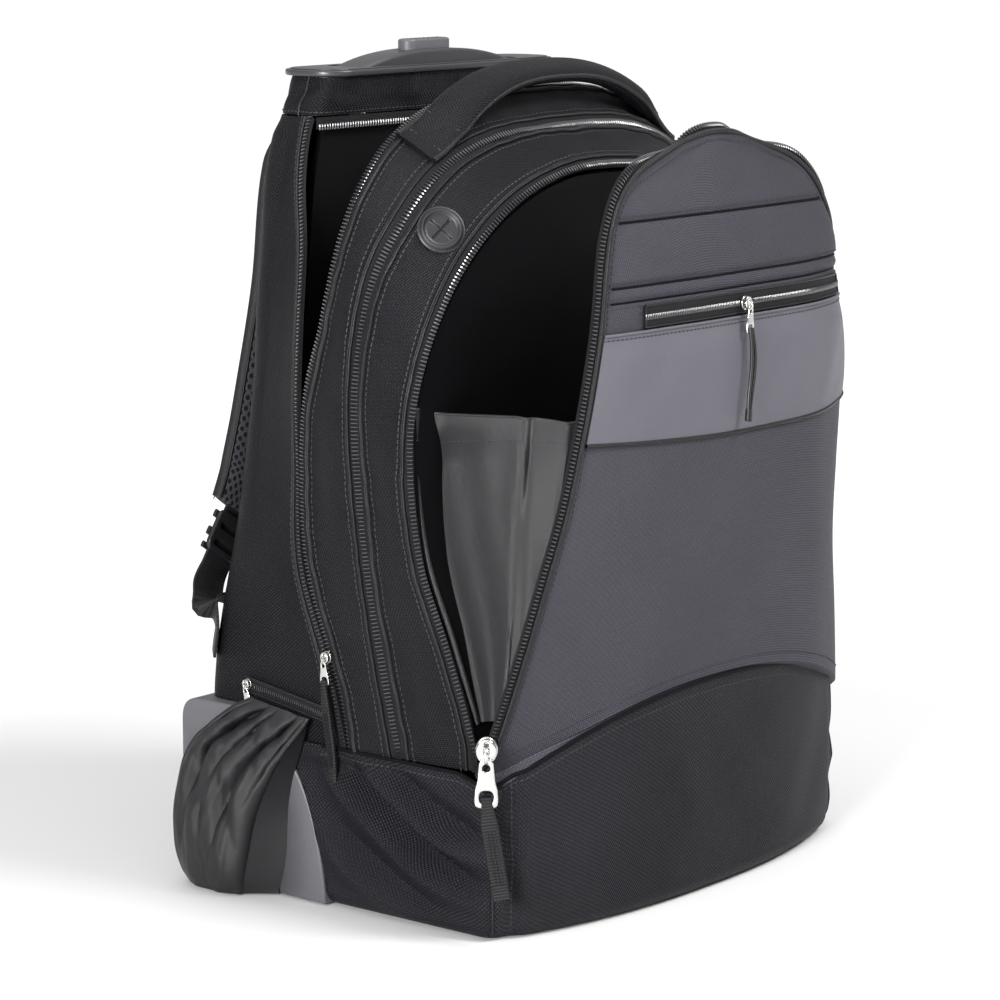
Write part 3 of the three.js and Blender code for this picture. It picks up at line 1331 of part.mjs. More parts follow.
// Ring on the left strap
function strapRing() {
  const ring = new THREE.TorusGeometry(RING_RADIUS, RING_WIRE, 5, 16);
  const place = strapLine[2].clone();
  ring.rotateX(Math.PI / 2);
  return ring.translate(place.x, place.y + STRAP_THICK / 2 + RING_WIRE + GAP, place.z);
}
add("strap_ring", mirrored(strapRing()), CHROME);

// Gathered cover pulled over the left wheel
function wheelCover() {
  const rows = [0, 0.1, 0.3, 0.6, 0.85, 1].map((t) => {
    const read = (column) => along(COVER_ROWS, column, t);
    const front = HOUSING_BACK * read("front");
    const rear = HOUSING_BACK * read("back");
    return steps(22).map((u) => {
      const round = Math.sin(Math.PI * u);
      const y = mix(front, rear, (1 - Math.cos(Math.PI * u)) / 2);
      const fold = COVER_FOLD_DEPTH * t * round * Math.sin(2 * Math.PI * COVER_FOLDS * u + 2 * t);
      const reach = COVER_REACH * read("reach") * round ** 0.6 + fold;
      const top = pocketZipHeight(Math.min(y, POCKET_ZIP_BACK)) - POCKET_ZIP_WIDTH / 2 - 2 * GAP;
      return V(-HOUSING_SIDE - 1.5 * GAP - reach, y, mix(top, COVER_FLOOR, t));
    });
  });
  return sheet(rows, COVER_WALL);
}
add("wheel_cover", wheelCover(), FABRIC);

// The part's origin is below the middle of its box.
const part = new THREE.Group();
part.add(backpack);
const bounds = new THREE.Box3().setFromObject(part);
const middle = bounds.getCenter(V());
backpack.position.set(-middle.x, -middle.y, -bounds.min.z);

export default part;
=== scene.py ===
"""Looks of the wheeled backpack: woven cloth, zips, stitches, straps and wheels around its solids."""

import bmesh
import bpy
import numpy as np
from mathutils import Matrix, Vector


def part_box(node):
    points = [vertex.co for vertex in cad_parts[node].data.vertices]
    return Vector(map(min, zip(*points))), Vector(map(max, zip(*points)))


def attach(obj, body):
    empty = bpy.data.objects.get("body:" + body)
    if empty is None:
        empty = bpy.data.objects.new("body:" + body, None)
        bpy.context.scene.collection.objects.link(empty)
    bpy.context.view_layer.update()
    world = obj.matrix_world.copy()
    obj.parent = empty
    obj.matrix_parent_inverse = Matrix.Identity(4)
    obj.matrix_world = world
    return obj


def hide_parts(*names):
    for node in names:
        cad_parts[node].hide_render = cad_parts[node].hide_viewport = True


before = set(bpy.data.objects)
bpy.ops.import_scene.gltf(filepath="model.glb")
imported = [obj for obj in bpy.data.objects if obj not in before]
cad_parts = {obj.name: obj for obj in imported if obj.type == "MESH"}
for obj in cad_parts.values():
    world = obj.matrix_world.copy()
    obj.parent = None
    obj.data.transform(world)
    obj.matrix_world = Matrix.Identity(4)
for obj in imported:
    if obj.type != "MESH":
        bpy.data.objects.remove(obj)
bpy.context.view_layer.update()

# Sizes of the bag in millimetres, from its middle plane and the floor, the same as its solids have
HALF = 176
BACK_HEIGHT = 486
BACK_DEPTH = 101
FRONT_DEPTH = 118
FRONT_BULGE = 32
BASE_HEIGHT = 98
BASE_CORNER_DROP = 8
BASE_ARCH = 34
BASE_BACK = 110
BASE_CORNER = 15
BASE_HEM = 11
FLAP_TOP = BACK_HEIGHT - 31
FLAP_REACH = 150
BACK_CORNER = 20
COLLAR_HEIGHT = 22
COLLAR_LOW = BACK_HEIGHT - COLLAR_HEIGHT
COLLAR_FRONT = 58
BACK_FOOT = BASE_HEIGHT + 0.3
CLOTH = 2.4
PADDED_WALL = 4
FLAP_WALL = 3.4
TAPE = 7
TAPE_THICK = 1.1
TAPE_SHEET = TAPE_THICK + 0.8
TAPE_PROUD = 0.3
ZIP_HALF = 6.5
BAND_LOW = 0.5
BAND_HIGH = 0.68
FLAP_CLOSED = 0.48
FLAP_FREE = 0.62
CAP_Y = 80
TROLLEY_Y = 79
TUBE_SPREAD = 104
WHEEL_X = 156
WHEEL_Y = 84
WHEEL_RADIUS = 36
WHEEL_WIDTH = 24
WELL_RADIUS = 40
HOUSING_SIDE = 178
HOUSING_INSIDE = 138
HOUSING_BACK = 124
HOUSING_HEIGHT = 112
STRAP_WIDTH = 62
STRAP_THICK = 12
PAD_THICK = 9
PAD_HALF = 92
PAD_LOW = 128
PAD_HIGH = BACK_HEIGHT - 66
COVER_REACH = 24

SIDES = ((1, "right"), (-1, "left"))

cap_low, cap_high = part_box("trolley_cap")
ORIGIN = np.array([500 * (cap_low.x + cap_high.x), 500 * (cap_low.y + cap_high.y) - CAP_Y, 0.0])


def table(names, *rows):
    """Columns of given shares, by name."""
    return dict(zip(names.split(), np.array(rows, float).T))


# The back section seen from above: half width, depth of the back, and the laptop zip's rear tape
BACK_ROWS = table(
    "at half back edge edgeBack",
    (0.205, 0.972, 1.14, 0.989, -0.07),
    (0.3, 0.955, 1.12, 0.989, 0.05),
    (0.42, 0.915, 1.02, 0.989, 0.255),
    (0.545, 0.858, 1, 0.98, 0.29),
    (0.62, 0.825, 1, 0.972, 0.31),
    (0.71, 0.795, 1, 0.925, 0.36),
    (0.8, 0.765, 1, 0.852, 0.44),
    (0.88, 0.737, 1, 0.79, 0.54),
    (0.94, 0.69, 1, 0.725, 0.59),
    (1, 0.622, 1, 0.622, 0.61),
)
LAPTOP_DEPTHS = table(
    "at back",
    (0.2, -0.09),
    (0.27, -0.02),
    (0.43, 0.235),
    (0.57, 0.265),
    (0.66, 0.215),
    (0.73, 0.115),
    (0.86, 0.03),
    (1, 0),
)
MAIN_DEPTHS = table(
    "at back",
    (0.18, -0.5),
    (0.42, -0.25),
    (0.6, -0.14),
    (0.7, -0.135),
    (0.82, -0.18),
    (0.9, -0.27),
    (1, -0.34),
)
FRONT_DEPTHS = table(
    "at back",
    (0.22, -1.01),
    (0.27, -0.98),
    (0.385, -0.8),
    (0.5, -0.6),
    (0.65, -0.52),
    (0.76, -0.54),
    (1, -0.64),
)
LAPTOP_ARCH = {"half": 0.989, "shoulder": 0.63, "top": BACK_HEIGHT - 8, "power": 3, "depths": LAPTOP_DEPTHS}
MAIN_ARCH = {"half": 0.977, "shoulder": 0.59, "top": BACK_HEIGHT - 30, "power": 3, "depths": MAIN_DEPTHS}
FRONT_ARCH = {"half": 0.95, "shoulder": 0.6, "top": BACK_HEIGHT - 53, "power": 2.2, "depths": FRONT_DEPTHS}
FLAP_ROWS = table(
    "at left leftFore fore corner cornerFore right rightFore",
    (0, -0.968, 0.73, 1, 0.975, 0.79, 0.975, 0.7),
    (0.12, -0.94, 0.845, 1.01, 0.975, 0.77, 0.972, 0.6),
    (0.24, -0.885, 0.915, 1.015, 0.975, 0.75, 0.968, 0.51),
    (0.37, -0.81, 0.96, 1.02, 0.975, 0.76, 0.965, 0.44),
    (0.5, -0.738, 0.975, 1.02, 0.975, 0.78, 0.96, 0.43),
    (0.6, -0.68, 0.975, 1.013, 0.935, 0.81, 0.935, 0.6),
    (0.69, -0.635, 0.972, 1.005, 0.865, 0.85, 0.885, 0.75),
    (0.79, -0.605, 0.968, 0.995, 0.745, 0.94, 0.79, 0.885),
    (0.88, -0.56, 0.965, 0.985, 0.59, 0.965, 0.64, 0.945),
    (0.95, -0.44, 0.96, 0.975, 0.42, 0.962, 0.47, 0.95),
    (1, -0.17, 0.955, 0.965, 0.14, 0.957, 0.17, 0.952),
)
STRAP_ROWS = table(
    "at out off wide",
    (0, 0.4, -0.77, 0.8),
    (0.1, 0.42, 0.06, 0.94),
    (0.42, 0.46, 0.3, 1),
    (0.72, 0.545, 0.5, 1),
    (0.9, 0.62, 0.6, 0.94),
    (1, 0.705, 0.65, 0.76),
)
COVER_ROWS = table(
    "at reach front back",
    (0, 0.08, 0.15, 0.51),
    (0.12, 0.34, 0.2, 0.7),
    (0.3, 0.74, 0.29, 0.89),
    (0.55, 1, 0.39, 0.96),
    (0.8, 1, 0.455, 0.96),
    (0.93, 0.9, 0.49, 0.93),
    (1, 0.68, 0.51, 0.9),
)


def along(rows, column, place):
    """A smooth curve through one column of a table, read at places of its first column."""
    at = rows["at"]
    value = rows[column]
    place = np.clip(place, at[0], at[-1])
    i = np.clip(np.searchsorted(at, place, side="right") - 1, 0, len(at) - 2)
    before = np.maximum(i - 1, 0)
    after = np.minimum(i + 2, len(at) - 1)
    step = at[i + 1] - at[i]
    s = (place - at[i]) / step
    leave = (value[i + 1] - value[before]) / (at[i + 1] - at[before]) * step
    arrive = (value[after] - value[i]) / (at[after] - at[i]) * step
    s2 = s * s
    s3 = s2 * s
    start = value[i] * (2 * s3 - 3 * s2 + 1) + leave * (s3 - 2 * s2 + s)
    return start + value[i + 1] * (3 * s2 - 2 * s3) + arrive * (s3 - s2)


def mix(a, b, share):
    return a + (b - a) * share


def smooth(low, high, value):
    """0 below low, 1 above high, and an even rise between them."""
    s = np.clip((value - low) / (high - low), 0, 1)
    return s * s * (3 - 2 * s)


def quarter_round(share):
    """Height of a quarter circle at a share of the way in from its foot."""
    return np.sqrt(np.clip(1 - (1 - np.clip(share, 0, 1)) ** 2, 0, 1))


def unit(v):
    return v / np.maximum(np.linalg.norm(v, axis=-1, keepdims=True), 1e-9)


def runs(points):
    """How far each point lies along the line through the points."""
    gaps = np.linalg.norm(np.diff(points, axis=0), axis=-1)
    return np.concatenate([[0.0], np.cumsum(gaps)])


def even(pitch, points, *others):
    """The line's points, and what goes with them, at even distances of about pitch."""
    run = runs(points)
    count = max(int(round(run[-1] / pitch)) + 1, 2)
    places = np.linspace(0, run[-1], count)
    read = lambda values: np.stack([np.interp(places, run, column) for column in values.T], -1)
    return [read(values) for values in (points, *others)]


def even_line(line, count):
    """The line as count points at even distances."""
    run = runs(line)
    places = np.linspace(0, run[-1], count)
    return np.stack([np.interp(places, run, column) for column in line.T], -1)


def rumple(points, size, depth, seed):
    """Soft uneven waves about size long, of at most depth."""
    rng = np.random.default_rng(seed)
    bent = points + 0.35 * size * np.sin(points[..., [1, 2, 0]] * (2.2 / size))
    total = 0
    for _ in range(7):
        way = unit(rng.normal(size=3)) * 2 * np.pi / size * rng.uniform(0.6, 1.7)
        total = total + np.sin(bent @ way + rng.uniform(0, 2 * np.pi))
    return depth * total / 4


def crease(flat, start, end, width, depth):
    """A fold along a straight line of a flat picture of the cloth, which fades at its ends."""
    start = np.array(start, float)
    way = np.array(end, float) - start
    length = np.linalg.norm(way)
    way /= length
    off = flat - start
    run = off @ way
    side = off[..., 0] * way[1] - off[..., 1] * way[0]
    bend = side + 0.06 * length * np.sin(np.pi * np.clip(run / length, 0, 1))
    fade = smooth(-0.1 * length, 0.25 * length, run) * (1 - smooth(0.7 * length, 1.1 * length, run))
    return depth * np.exp(-(np.abs(bend / width) ** 1.5)) * fade


class Cloth:
    """A surface through a grid of points. It is read by shares of its rows and columns."""

    def __init__(self, grid, turn=1):
        self.grid = grid
        self.turn = turn
        self.normals = turn * unit(np.cross(np.gradient(grid, axis=0), np.gradient(grid, axis=1)))

    def pressed(self, depth):
        return Cloth(self.grid + self.normals * depth[..., None], self.turn)

    def at(self, a, b):
        a, b = np.broadcast_arrays(np.asarray(a, float), np.asarray(b, float))
        rows, columns = self.grid.shape[:2]
        x = np.clip(a, 0, 1) * (rows - 1)
        y = np.clip(b, 0, 1) * (columns - 1)
        i = np.minimum(x.astype(int), rows - 2)
        j = np.minimum(y.astype(int), columns - 2)
        fx = (x - i)[..., None]
        fy = (y - j)[..., None]

        def read(g):
            low = g[i, j] * (1 - fy) + g[i, j + 1] * fy
            high = g[i + 1, j] * (1 - fy) + g[i + 1, j + 1] * fy
            return low * (1 - fx) + high * fx

        return read(self.grid), unit(read(self.normals))

    def lifted(self, a, b, height):
        p, n = self.at(a, b)
        return p + n * height, n


# Materials
def shader_of(name, **sockets):
    made = bpy.data.materials.new(name)
    made.use_nodes = True
    shader = made.node_tree.nodes["Principled BSDF"]
    for key, value in sockets.items():
        shader.inputs[key.replace("_", " ")].default_value = value
    return made, made.node_tree, shader


def node(tree, kind, inputs=(), **settings):
    """Adds a shader node. Each input is linked to a socket or set to a value."""
    made = tree.nodes.new("ShaderNode" + kind)
    for key, value in settings.items():
        setattr(made, key, value)
    for key, value in dict(inputs).items():
        if isinstance(value, bpy.types.NodeSocket):
            tree.links.new(value, made.inputs[key])
        else:
            made.inputs[key].default_value = value
    return made


def math(tree, operation, first, second=0.0):
    return node(tree, "Math", {0: first, 1: second}, operation=operation).outputs[0]


def mixed(tree, share, first, second):
    """A blend of two colours."""
    made = node(tree, "Mix", {"Factor": share}, data_type="RGBA")
    for index, value in ((6, first), (7, second)):
        if isinstance(value, bpy.types.NodeSocket):
            tree.links.new(value, made.inputs[index])
        else:
            made.inputs[index].default_value = (*value, 1)
    return made.outputs[2]


def bumped(tree, shader, *layers):
    """Adds bumps to a shader: each layer is a height, its depth in metres and its strength."""
    normal = None
    for height, depth, strength in layers:
        inputs = {"Height": height, "Distance": depth, "Strength": strength}
        if normal:
            inputs["Normal"] = normal
        normal = node(tree, "Bump", inputs).outputs[0]
    tree.links.new(normal, shader.inputs["Normal"])


def noise(tree, scale, detail=3.0, vector=None):
    inputs = {"Scale": scale, "Detail": detail}
    inputs["Vector"] = vector or node(tree, "TexCoord").outputs["Object"]
    return node(tree, "TexNoise", inputs).outputs["Fac"]


def crossing(tree, cells):
    """Height of two crossing waves: 1 in the middle of each cell and 0 on its edges."""
    angle = node(tree, "VectorMath", {0: cells, 1: (np.pi,) * 3}, operation="MULTIPLY").outputs[0]
    wave = node(tree, "VectorMath", {0: angle}, operation="SINE").outputs[0]
    high = node(tree, "VectorMath", {0: wave}, operation="ABSOLUTE").outputs[0]
    parts = node(tree, "SeparateXYZ", {0: high})
    return math(tree, "MULTIPLY", parts.outputs[0], parts.outputs[1])


def woven(name, dark, light, thread, rough, relief=1.0, twill=0.0, shine=0.1):
    """Woven cloth: crossing threads with painted shade in the gaps between them, uneven dye and fine creases.
    """
    made, tree, shader = shader_of(name, Roughness=rough, Specular_IOR_Level=shine)
    flat = node(tree, "TexCoord").outputs["UV"]
    turn = (0, 0, twill)
    threads = node(tree, "Mapping", {"Vector": flat, "Rotation": turn, "Scale": (1 / thread,) * 3}).outputs[0]
    height = crossing(tree, threads)
    checks = node(tree, "TexChecker", {"Vector": threads, "Scale": 1.0}).outputs["Fac"]
    patches = noise(tree, 14.0, 4.0)
    slubs = noise(tree, 420.0, 2.0)
    share = math(tree, "ADD", math(tree, "MULTIPLY", patches, 0.55), math(tree, "MULTIPLY", slubs, 0.45))
    dyed = mixed(tree, share, dark, light)
    # Painted shade: the gaps between threads blend towards a darker copy of the dye; the checks make
    # alternate cells a little lighter.
    shade = math(tree, "ADD", math(tree, "MULTIPLY", height, 1.1), math(tree, "MULTIPLY", checks, 0.35))
    deep = tuple(0.3 * c for c in dark)
    tree.links.new(mixed(tree, math(tree, "ADD", shade, 0.12), deep, dyed), shader.inputs["Base Color"])
    creases = noise(tree, 55.0, 5.0)
    bumped(tree, shader, (creases, 0.0012, 0.35), (height, 0.0005, 0.9 * relief), (slubs, 0.0002, 0.3))
    return made


def ribbed(name, dark, light, pitch, rough, across=True):
    """Webbing and zip tape: ribs across or along the cloth, with painted shade between the ribs."""
    made, tree, shader = shader_of(name, Roughness=rough, Specular_IOR_Level=0.15)
    flat = node(tree, "TexCoord").outputs["UV"]
    parts = node(tree, "SeparateXYZ", {0: flat})
    run = math(tree, "MULTIPLY", parts.outputs[1 if across else 0], np.pi / pitch)
    other = math(tree, "MULTIPLY", parts.outputs[0 if across else 1], np.pi / (0.6 * pitch))
    ribs = math(tree, "ABSOLUTE", math(tree, "SINE", run))
    fine = math(tree, "ABSOLUTE", math(tree, "SINE", other))
    height = math(tree, "ADD", math(tree, "MULTIPLY", ribs, 0.7), math(tree, "MULTIPLY", fine, 0.3))
    dyed = mixed(tree, noise(tree, 60.0), dark, light)
    # Painted shade: the grooves between ribs blend towards a darker copy of the dye.
    deep = tuple(0.3 * c for c in dark)
    tree.links.new(mixed(tree, math(tree, "ADD", height, 0.15), deep, dyed), shader.inputs["Base Color"])
    bumped(tree, shader, (height, 0.0004, 0.8))
    return made


def spacer_mesh(name, dark, light, cell):
    """Open spacer mesh: small round holes between thicker yarn, painted dark as shade inside the holes."""
    made, tree, shader = shader_of(name, Roughness=0.8, Specular_IOR_Level=0.2)
    flat = node(tree, "TexCoord").outputs["UV"]
    spots = node(tree, "Mapping", {"Vector": flat, "Rotation": (0, 0, np.pi / 4), "Scale": (1 / cell,) * 3})
    round_hole = crossing(tree, spots.outputs[0])
    hole = node(tree, "MapRange", {"Value": round_hole, "From Min": 0.45, "From Max": 0.7}).outputs[0]
    dyed = mixed(tree, noise(tree, 90.0), dark, light)
    # Painted shade: the holes take a much darker copy of the yarn's colour.
    deep = tuple(0.15 * c for c in dark)
    tree.links.new(mixed(tree, hole, dyed, deep), shader.inputs["Base Color"])
    bumped(tree, shader, (noise(tree, 40.0), 0.001, 0.2), (math(tree, "SUBTRACT", 1.0, hole), 0.0012, 0.9))
    return made


def moulded(name, dark, light, rough, grain, depth=0.0002, coat=0.0, shine=0.5):
    """Moulded plastic or rubber with a fine grain and slight wear."""
    made, tree, shader = shader_of(name, Coat_Weight=coat, Coat_Roughness=0.2, Specular_IOR_Level=shine)
    wear = noise(tree, 9.0, 6.0)
    tree.links.new(mixed(tree, wear, dark, light), shader.inputs["Base Color"])
    ends = {"To Min": rough - 0.06, "To Max": rough + 0.08}
    spread = node(tree, "MapRange", {"Value": noise(tree, 30.0), **ends})
    tree.links.new(spread.outputs[0], shader.inputs["Roughness"])
    bumped(tree, shader, (noise(tree, grain, 2.0), depth, 0.5))
    return made


def metal(name, dark, light, rough, stretch=(1.0, 1.0, 1.0)):
    """Plated or drawn metal with fine scratches along one way."""
    made, tree, shader = shader_of(name, Metallic=1.0)
    place = node(tree, "TexCoord").outputs["Object"]
    lines = node(tree, "Mapping", {"Vector": place, "Scale": stretch}).outputs[0]
    scratches = noise(tree, 600.0, 3.0, lines)
    tree.links.new(mixed(tree, noise(tree, 25.0), dark, light), shader.inputs["Base Color"])
    spread = node(tree, "MapRange", {"Value": scratches, "To Min": rough, "To Max": rough + 0.12})
    tree.links.new(spread.outputs[0], shader.inputs["Roughness"])
    bumped(tree, shader, (scratches, 0.00003, 0.25))
    return made


BALLISTIC = woven(
    "ballistic", (0.004, 0.004, 0.0055), (0.024, 0.024, 0.03), 0.0019, 0.44, relief=1.3, twill=0.785
)
# A darker copy of the ballistic weave for the back section and the collar: painted shade.
BALLISTIC_PAINTED_SHADE = woven(
    "ballistic_weave_painted_shade", (0.002, 0.002, 0.0028), (0.0115, 0.0115, 0.0142), 0.0019, 0.46, relief=1.2, twill=0.785
)
FLAP_CLOTH = woven("flap_weave", (0.036, 0.035, 0.044), (0.07, 0.068, 0.083), 0.0016, 0.5, relief=0.8)
GUSSET = woven("gusset_weave", (0.003, 0.003, 0.004), (0.0155, 0.0152, 0.019), 0.0016, 0.44, twill=0.6)
COVER = woven(
    "cover_weave", (0.005, 0.005, 0.0062), (0.0085, 0.0085, 0.0102), 0.0006, 0.42, relief=0.4, shine=0.36
)
SATIN = woven("satin_weave", (0.104, 0.1, 0.118), (0.124, 0.12, 0.141), 0.0005, 0.42, relief=0.2)
LINING = woven(
    "lining_weave", (0.012, 0.012, 0.0133), (0.019, 0.019, 0.021), 0.0006, 0.34, relief=0.4, shine=0.4
)
# A darker copy of the lining: painted shade for the compartments' inner walls and for dark cords in seams.
LINING_PAINTED_SHADE = woven(
    "lining_weave_painted_shade", (0.003, 0.003, 0.0035), (0.006, 0.006, 0.007), 0.0006, 0.5, relief=0.4, shine=0.05
)
PIPING = woven(
    "piping_weave", (0.005, 0.005, 0.006), (0.009, 0.009, 0.0105), 0.0009, 0.34, relief=0.5, shine=0.25
)
TAPE_CLOTH = ribbed(
    "zip_tape", (0.007, 0.007, 0.008), (0.013, 0.013, 0.0145), 0.0008, 0.6, across=False
)
WEBBING = ribbed("webbing", (0.009, 0.009, 0.01), (0.016, 0.016, 0.0175), 0.0018, 0.5)
MESH_CLOTH = spacer_mesh("mesh_cloth", (0.028, 0.028, 0.034), (0.042, 0.042, 0.05), 0.0048)
NYLON = moulded("nylon", (0.007, 0.007, 0.0078), (0.012, 0.012, 0.013), 0.34, 700.0, shine=0.35)
COIL = moulded(
    "zip_coil", (0.01, 0.01, 0.0115), (0.02, 0.02, 0.023), 0.22, 900.0, 0.0001, coat=0.6, shine=0.5
)
THREAD = moulded("thread", (0.018, 0.018, 0.021), (0.03, 0.03, 0.034), 0.55, 1500.0, shine=0.2)
PLASTIC = moulded("plastic", (0.066, 0.0655, 0.072), (0.08, 0.0795, 0.087), 0.45, 500.0, shine=0.4)
CAP_PLASTIC = moulded(
    "cap_plastic", (0.022, 0.022, 0.025), (0.033, 0.033, 0.037), 0.34, 600.0, coat=0.1, shine=0.35
)
TYRE = moulded(
    "tyre_rubber", (0.006, 0.006, 0.0065), (0.011, 0.011, 0.0115), 0.65, 300.0, 0.0004, shine=0.3
)
PORT_RUBBER = moulded(
    "port_rubber", (0.009, 0.009, 0.0105), (0.016, 0.016, 0.018), 0.4, 400.0, shine=0.35
)
CHROME = metal("chrome", (0.5, 0.49, 0.475), (0.62, 0.61, 0.59), 0.13)
ALUMINIUM = metal("drawn_aluminium", (0.55, 0.56, 0.57), (0.66, 0.67, 0.68), 0.28, (1.0, 1.0, 0.03))
STEEL = metal("axle_steel", (0.5, 0.5, 0.52), (0.6, 0.6, 0.62), 0.22)


# Building pieces
def linked(name, data):
    """A new object in the scene."""
    made = bpy.data.objects.new(name, data)
    bpy.context.scene.collection.objects.link(made)
    return made


def piece(name, points, faces, finish, slot, body="bag", replaces=(), flat=None, sharp=0.7):
    """A mesh object from points in the bag's millimetres. It rides on a body and stands for solids."""
    mesh = bpy.data.meshes.new(name)
    places = (np.asarray(points) + ORIGIN) / 1000
    mesh.from_pydata(places.tolist(), [], [list(face) for face in faces])
    if flat is not None:
        layer = mesh.uv_layers.new(name="flat")
        corners = np.zeros(len(mesh.loops), int)
        mesh.loops.foreach_get("vertex_index", corners)
        layer.data.foreach_set("uv", (np.asarray(flat)[corners] / 1000).ravel())
    work = bmesh.new()
    work.from_mesh(mesh)
    bmesh.ops.recalc_face_normals(work, faces=work.faces)
    work.to_mesh(mesh)
    work.free()
    mesh.shade_smooth()
    mesh.set_sharp_from_angle(angle=sharp)
    mesh.materials.append(finish)
    return placed(linked(name, mesh), slot, body, replaces)


def placed(made, slot, body, replaces):
    """Says which body a piece rides on and the solids that it stands for. The slot is not used."""
    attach(made, body)
    if replaces:
        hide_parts(*([replaces] if isinstance(replaces, str) else replaces))
    return made


def sheet_form(grid, normals, thickness, proud=0.0, wrap=False):
    """Points, faces and flat lengths of a closed sheet. Its outside is the grid, and it thickens inwards."""
    if wrap:
        grid = np.concatenate([grid, grid[:, :1]], 1)
        normals = np.concatenate([normals, normals[:, :1]], 1)
    rows, columns = grid.shape[:2]
    outer = grid + normals * proud
    inner = outer - normals * thickness
    across = np.cumsum(np.linalg.norm(np.diff(grid, axis=1, prepend=grid[:, :1]), axis=-1), 1)
    across -= across[:, columns // 2 : columns // 2 + 1]
    down = np.cumsum(np.linalg.norm(np.diff(grid, axis=0, prepend=grid[:1]), axis=-1), 0)
    flat = np.stack([across, down], -1).reshape(-1, 2)
    size = rows * columns
    index = np.arange(size).reshape(rows, columns)
    cells = np.stack([index[:-1, :-1], index[1:, :-1], index[1:, 1:], index[:-1, 1:]], -1).reshape(-1, 4)
    faces = [cells, cells[:, ::-1] + size]
    edges = [index[0], index[-1]] if wrap else [
        np.concatenate([index[0], index[1:, -1], index[-1, -2::-1], index[-2::-1, 0]])
    ]
    for edge in edges:
        faces.append(np.stack([edge[:-1], edge[1:], edge[1:] + size, edge[:-1] + size], -1))
    points = np.concatenate([outer.reshape(-1, 3), inner.reshape(-1, 3)])
    return points, np.concatenate(faces), np.concatenate([flat, flat])


def weld(made, distance=1e-6):
    """Joins points that lie on each other."""
    work = bmesh.new()
    work.from_mesh(made.data)
    bmesh.ops.remove_doubles(work, verts=work.verts, dist=distance)
    bmesh.ops.recalc_face_normals(work, faces=work.faces)
    work.to_mesh(made.data)
    work.free()
    return made


def sheet(name, grid, normals, thickness, finish, slot, proud=0.0, wrap=False, **more):
    points, faces, flat = sheet_form(grid, normals, thickness, proud, wrap)
    made = piece(name, points, faces, finish, slot, flat=flat, **more)
    return weld(made) if wrap else made


def rounded(width, thickness, corner, count=4):
    """A section: a rectangle with rounded corners."""
    w = width / 2 - corner
    t = thickness / 2 - corner
    turns = np.linspace(0, np.pi / 2, count + 1)
    ring = []
    for quarter, (x, y) in enumerate([(w, t), (-w, t), (-w, -t), (w, -t)]):
        angle = turns + quarter * np.pi / 2
        ring.append(np.stack([x + corner * np.cos(angle), y + corner * np.sin(angle)], -1))
    return np.concatenate(ring)


def circle(radius, count=10):
    angle = np.linspace(0, 2 * np.pi, count, endpoint=False)
    return radius * np.stack([np.cos(angle), np.sin(angle)], -1)


def pillow(width, thickness, count=28, power=2.6):
    """A section with full sides that pull in to thinner edges."""
    angle = np.linspace(0, 2 * np.pi, count, endpoint=False)
    cos = np.cos(angle)
    sin = np.sin(angle)
    x = np.sign(cos) * np.abs(cos) ** (2 / power)
    y = np.sign(sin) * np.abs(sin) ** (2 / power)
    return np.stack([x * width / 2, y * thickness / 2], -1)


def sweep_form(route, out, section, taper=None):
    """A section carried along a route, with its second number along the way out."""
    ahead = unit(np.gradient(route, axis=0))
    out = unit(out - ahead * np.sum(out * ahead, -1, keepdims=True))
    side = np.cross(out, ahead)
    size = np.ones((len(route), 2)) if taper is None else taper
    rings = (
        route[:, None]
        + side[:, None] * (section[None, :, :1] * size[:, None, :1])
        + out[:, None] * (section[None, :, 1:] * size[:, None, 1:])
    )
    count = len(section)
    total = len(route)
    index = np.arange(total * count).reshape(total, count)
    turned = np.roll(index, -1, 1)
    faces = np.stack([index[:-1], index[1:], turned[1:], turned[:-1]], -1).reshape(-1, 4).tolist()
    faces += [index[0].tolist(), index[-1][::-1].tolist()]
    around = runs(np.concatenate([section, section[:1]]))[:-1]
    flat = np.stack(np.broadcast_arrays(around[None], runs(route)[:, None]), -1).reshape(-1, 2)
    return rings.reshape(-1, 3), faces, flat


def joined_forms(forms):
    """Several forms as one: points, faces and flat lengths."""
    points, faces, flat = [], [], []
    start = 0
    for p, f, uv in forms:
        points.append(p)
        flat.append(uv)
        faces += [[i + start for i in face] for face in f]
        start += len(p)
    return np.concatenate(points), faces, np.concatenate(flat)


def pieces(name, forms, finish, slot, **more):
    points, faces, flat = joined_forms(forms)
    return piece(name, points, faces, finish, slot, flat=flat, **more)


def bead(across, length, thick, count=6):
    """A small rounded bar, across the route, for a tooth or a stitch."""
    sizes = [(-1, 0.55), (-0.72, 1), (0.72, 1), (1, 0.55)]
    ring = circle(1, count)
    points = [
        (across / 2 * at, length / 2 * size * c, thick / 2 * (size * s))
        for at, size in sizes
        for c, s in ring
    ]
    index = np.arange(4 * count).reshape(4, count)
    turned = np.roll(index, -1, 1)
    faces = np.stack([index[:-1], turned[:-1], turned[1:], index[1:]], -1).reshape(-1, 4).tolist()
    return np.array(points), faces + [index[0][::-1].tolist(), index[-1].tolist()]


def beads_form(route, out, pitch, form, shift=0.0):
    """A small form repeated along a route. Its numbers run across, along and out."""
    points, faces = form
    places, ways = even(pitch, route, out)
    ahead = unit(np.gradient(places, axis=0))
    ways = unit(ways - ahead * np.sum(ways * ahead, -1, keepdims=True))
    side = np.cross(ways, ahead)
    at = places[:, None] + side[:, None] * (points[None, :, :1] + shift)
    at = at + ahead[:, None] * points[None, :, 1:2] + ways[:, None] * points[None, :, 2:]
    total = len(places)
    count = len(points)
    all_faces = [[i + k * count for i in face] for k in range(total) for face in faces]
    return at.reshape(-1, 3), all_faces, np.tile(points[:, :2], (total, 1))


